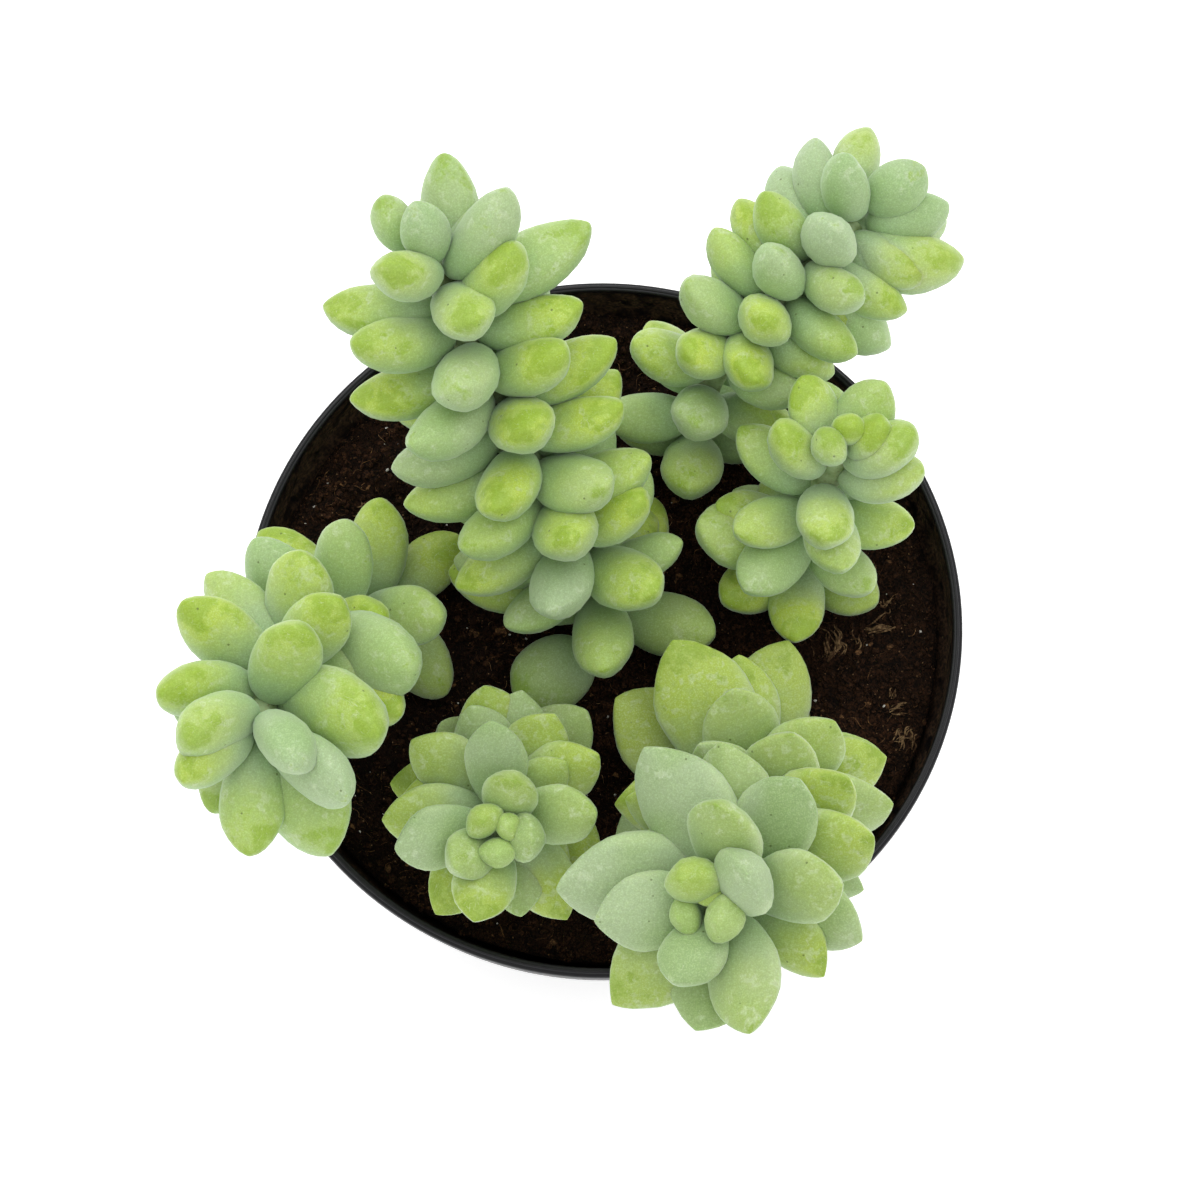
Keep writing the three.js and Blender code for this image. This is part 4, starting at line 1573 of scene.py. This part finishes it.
def scatter_tree() -> bpy.types.NodeTree:
    """Builds the geometry tree that strews small pieces over the top of the peat.

    Returns:
        The tree, with inputs Pieces, Density, Seed, Smallest, Largest, Tilt, Sink, Patchy, Edge and Skin.
    """
    made = geometry_tree("strewn", {
        "Pieces": "Collection", "Density": 1.0, "Seed": 0, "Smallest": 1.0, "Largest": 1.0, "Tilt": 0.3,
        "Sink": 0.0, "Patchy": 0.5, "Edge": 0.048})
    seed, tilt, patchy = made.take("Seed"), made.take("Tilt"), made.take("Patchy")
    place = made.out("GeometryNodeInputPosition")
    faces_up = made.math("GREATER_THAN", made.split(made.out("GeometryNodeInputNormal"))[2], 0.35)
    radius = made.math("LENGTH", place * (1.0, 1.0, 0.0))
    patches = made.ramp(made.noise(place, 90.0), patchy * 0.7, patchy + 0.12)
    density = faces_up * made.math("LESS_THAN", radius, made.take("Edge")) * patches * made.take("Density")
    points = made.out("GeometryNodeDistributePointsOnFaces",
                      {"Mesh": made.take("Geometry"), "Density": density, "Seed": seed}, "Points")
    chosen = made.out("GeometryNodeCollectionInfo", {
        "Collection": made.take("Pieces"), "Separate Children": True, "Reset Children": True})
    back = tilt * -1.0
    low = made.out("ShaderNodeCombineXYZ", {0: back, 1: back, 2: 0.0})
    high = made.out("ShaderNodeCombineXYZ", {0: tilt, 1: tilt, 2: 2 * math.pi})
    turn = made.outs("FunctionNodeRandomValue", {0: low, 1: high, "Seed": seed}, data_type="FLOAT_VECTOR")
    sizes = {2: made.take("Smallest"), 3: made.take("Largest"), "Seed": seed}
    size = made.outs("FunctionNodeRandomValue", sizes, data_type="FLOAT")
    copies = made.out("GeometryNodeInstanceOnPoints", {
        "Points": points, "Instance": chosen, "Pick Instance": True, "Rotation": turn["Value"],
        "Scale": size["Value"]})
    real = made.out("GeometryNodeRealizeInstances", {"Geometry": copies})
    drop = made.out("ShaderNodeCombineXYZ", {2: made.take("Sink") * -1.0})
    made.end(made.out("GeometryNodeSetPosition", {"Geometry": real, "Offset": drop}))
    return made.tree


class Bit(Enum):
    """The form of a small thing in the peat."""

    LUMP = "lumps"
    CHIP = "chips"
    FIBRE = "fibres"


@dataclass(frozen=True)
class Litter:
    """One kind of small thing in the peat, strewn by number per square metre, sizes in metres."""

    name: str
    finish: Earth
    bit: Bit
    density: float
    smallest: float
    largest: float
    tilt: float
    sink: float
    patchy: float
    seed: int
    edge: float = 0.0475


class Crumbs:
    """Unit shapes for what is strewn: lumps, chips and fibres."""

    def __init__(self, seed: int = 7) -> None:
        """Starts the shapes' own repeatable draw."""
        self.random = np.random.default_rng(seed)

    def lumps(self, count: int, flat: float) -> list[bpy.types.Mesh]:
        """Uneven lumps, flattened by a share of their size.

        Args:
            count: How many there are.
            flat: Their height as a share of their width.

        Returns:
            The meshes.
        """
        meshes = []
        for _ in range(count):
            work = bmesh.new()
            bmesh.ops.create_icosphere(work, subdivisions=1, radius=0.5)
            for vert in work.verts:
                vert.co *= 0.65 + 0.7 * self.random.random()
                vert.co.z *= flat
            mesh = bpy.data.meshes.new("lump")
            work.to_mesh(mesh)
            work.free()
            meshes.append(mesh)
        return meshes

    def fibres(self, count: int, thickness: float, bend: float) -> list[bpy.types.Mesh]:
        """Bent three-sided fibres of unit length, tapered at both ends.

        Args:
            count: How many there are.
            thickness: Radius in the middle.
            bend: How far they may bend.

        Returns:
            The meshes.
        """
        meshes = []
        steps, corners_round = 7, 3
        last = steps * corners_round
        for _ in range(count):
            sway, twist = (self.random.random(2) - 0.5) * 2 * bend
            points = []
            for k in range(steps + 1):
                share = k / steps
                aside = sway * (share - 0.5) ** 2 + 0.3 * twist * math.sin(5 * share)
                centre = np.array([share - 0.5, aside, 0.25 * twist * share * (1 - share)])
                radius = thickness * mix(0.35, 1.0, math.sin(math.pi * min(0.97, max(0.03, share))))
                points += [centre + radius * np.array([0, y, z]) for y, z in zip(*circle(corners_round))]
            faces = bands(steps + 1, corners_round) + [(0, 1, 2), (last + 2, last + 1, last)]
            meshes.append(facing_out(mesh_of("fibre", np.array(points), faces)))
        return meshes


@dataclass(frozen=True)
class Tuft:
    """A knot of old fibres on the peat: where, which way and how many, in millimetres and degrees."""

    x: float
    y: float
    bearing: float
    count: int
    length: float
    spread: float
    curl: float = 1.1
    wide: float = 0.1


RIDGE_OFFSET_AND_GAIN = (0.9, 2.0)
RIDGE_MIDDLE = 1.1


@dataclass(frozen=True)
class Relief:
    """A layer of the peat's roughness: waves per millimetre, how they get finer, and its height."""

    waves: float
    falloff: float
    finer: float
    layers: int
    height: float

    def height_at(self, place: Vector) -> float:
        """Its height at a place, as rounded lumps."""
        return noise.fractal(place * self.waves, self.falloff, self.finer, self.layers) * self.height

    def ridge_at(self, place: Vector) -> float:
        """Its height at a place, as sharp ridges about the middle level.

        Args:
            place: The place.

        Returns:
            The height.
        """
        ridge = noise.ridged_multi_fractal(place * self.waves, self.falloff, self.finer, self.layers,
                                           *RIDGE_OFFSET_AND_GAIN)
        return (ridge - RIDGE_MIDDLE) * self.height


@dataclass
class PeatBed:
    """The block of peat, its rough top, and what lies in it, in millimetres.

    Attributes:
        edge: Radius of the block at its top.
        foot: Radius at its bottom.
        bottom: Height of its bottom.
        rings: Rings of points on its top.
        sides: Points in each ring.
        closer_outwards: Power that sets the rings closer together towards the edge.
        clods: The broadest layer of its roughness.
        ridges: The middle layer.
        grains: The finest layer.
        ragged_edge: How unevenly the top starts to fall away at the edge.
        falls: The radii between which the top falls away, and how far it falls.
        litter: What is strewn over it.
        tufts: The knots of fibres on it.
    """

    edge: float = 50.5
    foot: float = 35.37
    bottom: float = 1.9
    rings: int = 96
    sides: int = 230
    closer_outwards: float = 0.85
    clods: Relief = Relief(0.16, 0.9, 2.2, 4, 1.2)
    ridges: Relief = Relief(0.45, 0.9, 2.1, 3, 0.55)
    grains: Relief = Relief(1.1, 0.7, 2.3, 3, 0.6)
    ragged_edge: float = 1.6
    falls: Triple = (48.8, 51.0, 1.1)
    litter: tuple[Litter, ...] = (
        Litter("peat_crumbs", CRUMB, Bit.LUMP, 900000, 0.0003, 0.0013, 3.1, 0.0, 0.25, 11, 0.0503),
        Litter("peat_threads", CRUMB, Bit.FIBRE, 260000, 0.0010, 0.0036, 0.45, 0.0, 0.3, 12, 0.0496),
        Litter("bark_chips", BARK, Bit.CHIP, 60000, 0.0005, 0.0018, 0.6, 0.0002, 0.5, 13, 0.0496),
        Litter("bark_fibres", BARK, Bit.FIBRE, 170000, 0.0008, 0.0032, 0.5, 0.0, 0.5, 14, 0.0492),
        Litter("straw_bits", STRAW, Bit.FIBRE, 30000, 0.0010, 0.0034, 0.3, 0.0, 0.42, 15),
        Litter("perlite_grains", PERLITE, Bit.LUMP, 17000, 0.0002, 0.0006, 3.1, 0.0, 0.3, 16, 0.0488),
    )
    tufts: tuple[Tuft, ...] = (
        Tuft(36.4, -2.8, 95, 15, 4.0, 4.4), Tuft(33.6, -3.8, 72, 8, 4.2, 2.0, 0.3, 0.14),
        Tuft(40.2, 0.2, 12, 9, 4.2, 1.9, 0.3, 0.12), Tuft(43.4, -11.9, 8, 6, 3.0, 1.2, 0.4),
        Tuft(45.3, -17.0, 60, 14, 3.2, 3.6), Tuft(42.2, 3.9, 30, 6, 2.0, 2.0, 1.6),
        Tuft(43.4, -9.7, 80, 5, 1.6, 1.4, 1.6), Tuft(-36.5, 17.5, 50, 10, 3.2, 4.0),
        Tuft(4.5, 24.5, 20, 9, 2.8, 3.6), Tuft(10.2, 3.0, 100, 9, 2.6, 3.2),
        Tuft(-20.0, -40.0, 10, 9, 2.6, 3.6), Tuft(21.5, 4.5, 60, 8, 2.4, 3.0),
    )

    def top(self, x: float, y: float) -> float:
        """Height of the rough top at a place, in millimetres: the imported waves, clods and a ragged edge.

        Args:
            x: X of the place.
            y: Y of the place.

        Returns:
            The height.
        """
        at = Vector((x, y, 0.0))
        rough = self.clods.height_at(at) + self.ridges.ridge_at(at) + self.grains.height_at(at)
        # the peat lies flatter in a stretch at the right
        calm = 1.0 - 0.6 * ease(x, 26.0, 34.0) * ease(y, -24.0, -14.0) * (1 - ease(y, 8.0, 14.0))
        ragged = self.ragged_edge * noise.noise(Vector((x * 0.2, y * 0.2, 4.0)))
        starts, ends, drop = self.falls
        return GROUND.soil_top(x, y) + calm * rough - drop * ease(math.hypot(x, y) + ragged, starts, ends)

    def build(self, grit: bpy.types.NodeTree) -> None:
        """Makes the block and strews its litter.

        Args:
            grit: The shared grit group.
        """
        x, y = circle(self.sides)
        radii = [self.edge * (ring / self.rings) ** self.closer_outwards for ring in range(1, self.rings + 1)]
        rings = [np.array([(u, v, self.top(u, v)) for u, v in zip(radius * x, radius * y)]) * MM
                 for radius in radii]
        rings.append(np.stack([self.foot * x, self.foot * y, np.full(self.sides, self.bottom)], axis=1) * MM)
        mesh = closed_mesh("peat_bed", rings, (0, 0, self.top(0, 0) * MM), (0, 0, self.bottom * MM))
        mesh.materials.append(PEAT.material(grit))
        bed = placed("peat_bed", mesh)
        enrol(bed, "soil", "soil")
        knots = placed("fibre_knots", self.knots())
        knots.data.materials.append(HUSK.material(grit))
        enrol(knots, "soil")
        self.strew(bed, grit)

    def knots(self) -> bpy.types.Mesh:
        """The fibres of every tuft, each a bent four-sided ribbon that follows the peat.

        Returns:
            The fibres, as one mesh.
        """
        chance = np.random.default_rng(19)
        steps, points, faces = 9, [], []
        for tuft in self.tufts:
            for _ in range(tuft.count):
                stray = chance.normal(0, 1, 5)
                bearing = math.radians(tuft.bearing + 16 * stray[0])
                aside = tuft.spread * (chance.random() - 0.5)
                ahead = 0.35 * tuft.length * stray[1] * 0.5
                length = tuft.length * (0.45 + 0.6 * chance.random())
                across = math.radians(tuft.bearing + 90)
                x = tuft.x + aside * math.cos(across) + ahead * math.cos(bearing)
                y = tuft.y + aside * math.sin(across) + ahead * math.sin(bearing)
                lift = 0.1 + 0.9 * chance.random()
                first = len(points)
                for k in range(steps + 1):
                    share = k / steps - 0.5
                    curls = stray[2] * share + 0.5 * math.sin(7 * share + stray[3])
                    heading = bearing + tuft.curl * curls
                    if k:
                        x += length / steps * math.cos(heading)
                        y += length / steps * math.sin(heading)
                    z = self.top(x, y) + lift * (1 - 3.2 * share * share)
                    wide = tuft.wide * (1.15 - 3.2 * share * share)
                    aside_x, aside_y = -math.sin(heading) * wide, math.cos(heading) * wide
                    points += [(x + aside_x, y + aside_y, z), (x, y, z + 0.8 * wide),
                               (x - aside_x, y - aside_y, z), (x, y, z - 0.8 * wide)]
                faces += [tuple(first + corner for corner in face) for face in bands(steps + 1, 4)]
                last = first + steps * 4
                faces += [(first + 3, first + 2, first + 1, first), (last, last + 1, last + 2, last + 3)]
        return facing_out(mesh_of("fibre_knots", np.array(points) * MM, faces, smooth=False))

    def strew(self, bed: bpy.types.Object, grit: bpy.types.NodeTree) -> None:
        """Strews every kind of litter over the bed.

        Args:
            bed: The bed.
            grit: The shared grit group.
        """
        tree = scatter_tree()
        crumbs = Crumbs()
        shapes = {Bit.LUMP: crumbs.lumps(count=6, flat=0.8), Bit.CHIP: crumbs.lumps(count=6, flat=0.35),
                  Bit.FIBRE: crumbs.fibres(count=8, thickness=0.035, bend=0.7)}
        boxes = {}
        for bit, meshes in shapes.items():
            boxes[bit] = bpy.data.collections.new(bit.value)
            for mesh in meshes:
                boxes[bit].objects.link(bpy.data.objects.new(bit.value, mesh))
        finishes = {}
        for kind in self.litter:
            if kind.finish.name not in finishes:
                finishes[kind.finish.name] = kind.finish.material(grit)
            source = placed("bed_copy", bed.data.copy())
            piece = finished_mesh(kind.name, source, tree, {
                "Pieces": boxes[kind.bit], "Density": float(kind.density), "Seed": kind.seed,
                "Smallest": kind.smallest, "Largest": kind.largest, "Tilt": kind.tilt, "Sink": kind.sink,
                "Patchy": kind.patchy, "Edge": kind.edge, "Skin": finishes[kind.finish.name]})
            enrol(piece, "soil")
        for box in boxes.values():
            for shape in list(box.objects):
                bpy.data.objects.remove(shape)
            bpy.data.collections.remove(box)


# ------------------------------------------------------------------------------------- floor, light, camera


@dataclass
class Studio:
    """A plain pale floor, soft light and a camera that looks down steeply, in metres and watts.

    The sensor is in millimetres, and what ends in px is in pixels of the photograph.
    """

    elevation: float = math.radians(74.5)
    distance: float = 0.7
    aim: Triple = (0.0, 0.0, 0.09)
    lip_width_px: float = 720.8
    lip_width: float = 0.108
    picture_px: float = 1200.0
    lip_centre_px: tuple[float, float] = (602.5, 622.0)
    sensor: float = 36.0
    half_floor: float = 3.0
    sky: float = 0.78
    paper: tuple[tuple[str, object], ...] = (
        ("Base Color", (0.93, 0.93, 0.93, 1.0)), ("Roughness", 0.9), ("Emission Color", WHITE),
        ("Emission Strength", 0.5))
    lamps: tuple[tuple[str, Triple, float, float], ...] = (
        ("overhead", (0.12, 0.2, 1.3), 1.8, 9.0), ("side_key", (-0.3, 0.9, 0.9), 0.7, 2.5))

    def build(self) -> None:
        """Makes the floor, the lights, the sky and the camera."""
        self.floor()
        self.lights()
        self.camera()

    def floor(self) -> None:
        """A wide pale sheet under the pot."""
        half = self.half_floor
        square = np.array([(-half, -half, 0), (half, -half, 0), (half, half, 0), (-half, half, 0)], float)
        mesh = mesh_of("floor", square, [(0, 1, 2, 3)])
        material = bpy.data.materials.new("floor_paper")
        material.use_nodes = True
        inputs = material.node_tree.nodes["Principled BSDF"].inputs
        for name, value in self.paper:
            inputs[name].default_value = value
        mesh.materials.append(material)
        placed("floor", mesh)

    def lights(self) -> None:
        """One big softbox overhead, a weaker one behind, and an even white sky."""
        for name, place, size, power in self.lamps:
            light = bpy.data.lights.new(name, "AREA")
            light.shape, light.size, light.energy = "DISK", size, power
            lamp = bpy.data.objects.new(name, light)
            lamp.location = place
            lamp.rotation_euler = (Vector(self.aim) - Vector(place)).to_track_quat("-Z", "Y").to_euler()
            bpy.context.scene.collection.objects.link(lamp)
        world = bpy.data.worlds.new("sky")
        world.use_nodes = True
        sky = world.node_tree.nodes["Background"]
        sky.inputs["Color"].default_value = WHITE
        sky.inputs["Strength"].default_value = self.sky
        scene = bpy.context.scene
        scene.world = world
        scene.view_settings.view_transform = "Standard"
        scene.view_settings.look = "None"

    def camera(self) -> None:
        """The photograph's own view, worked out from how wide the lip is in it and where its middle lies."""
        focal_px = self.lip_width_px * self.distance / self.lip_width
        forward = Vector((0.0, math.cos(self.elevation), -math.sin(self.elevation)))
        up = Vector((0.0, math.sin(self.elevation), math.cos(self.elevation)))
        right = Vector((1.0, 0.0, 0.0))
        aside = (self.lip_centre_px[0] - self.picture_px / 2) * self.distance / focal_px
        above = (self.lip_centre_px[1] - self.picture_px / 2) * self.distance / focal_px
        data = bpy.data.cameras.new("camera")
        data.sensor_width = self.sensor
        data.lens = focal_px * self.sensor / self.picture_px
        data.clip_start, data.clip_end = 0.01, 20.0
        camera = bpy.data.objects.new("camera", data)
        camera.location = Vector(self.aim) - forward * self.distance - right * aside + up * above
        camera.rotation_euler = (math.pi / 2 - self.elevation, 0.0, 0.0)
        bpy.context.scene.collection.objects.link(camera)
        bpy.context.scene.camera = camera


def main() -> None:
    """Builds every piece in order."""
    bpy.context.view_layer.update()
    grit = grit_group()
    Pot().build(grit)
    PeatBed().build(grit)
    Plant(STEMS).build()
    Studio().build()


if __name__ == "__main__":
    main()
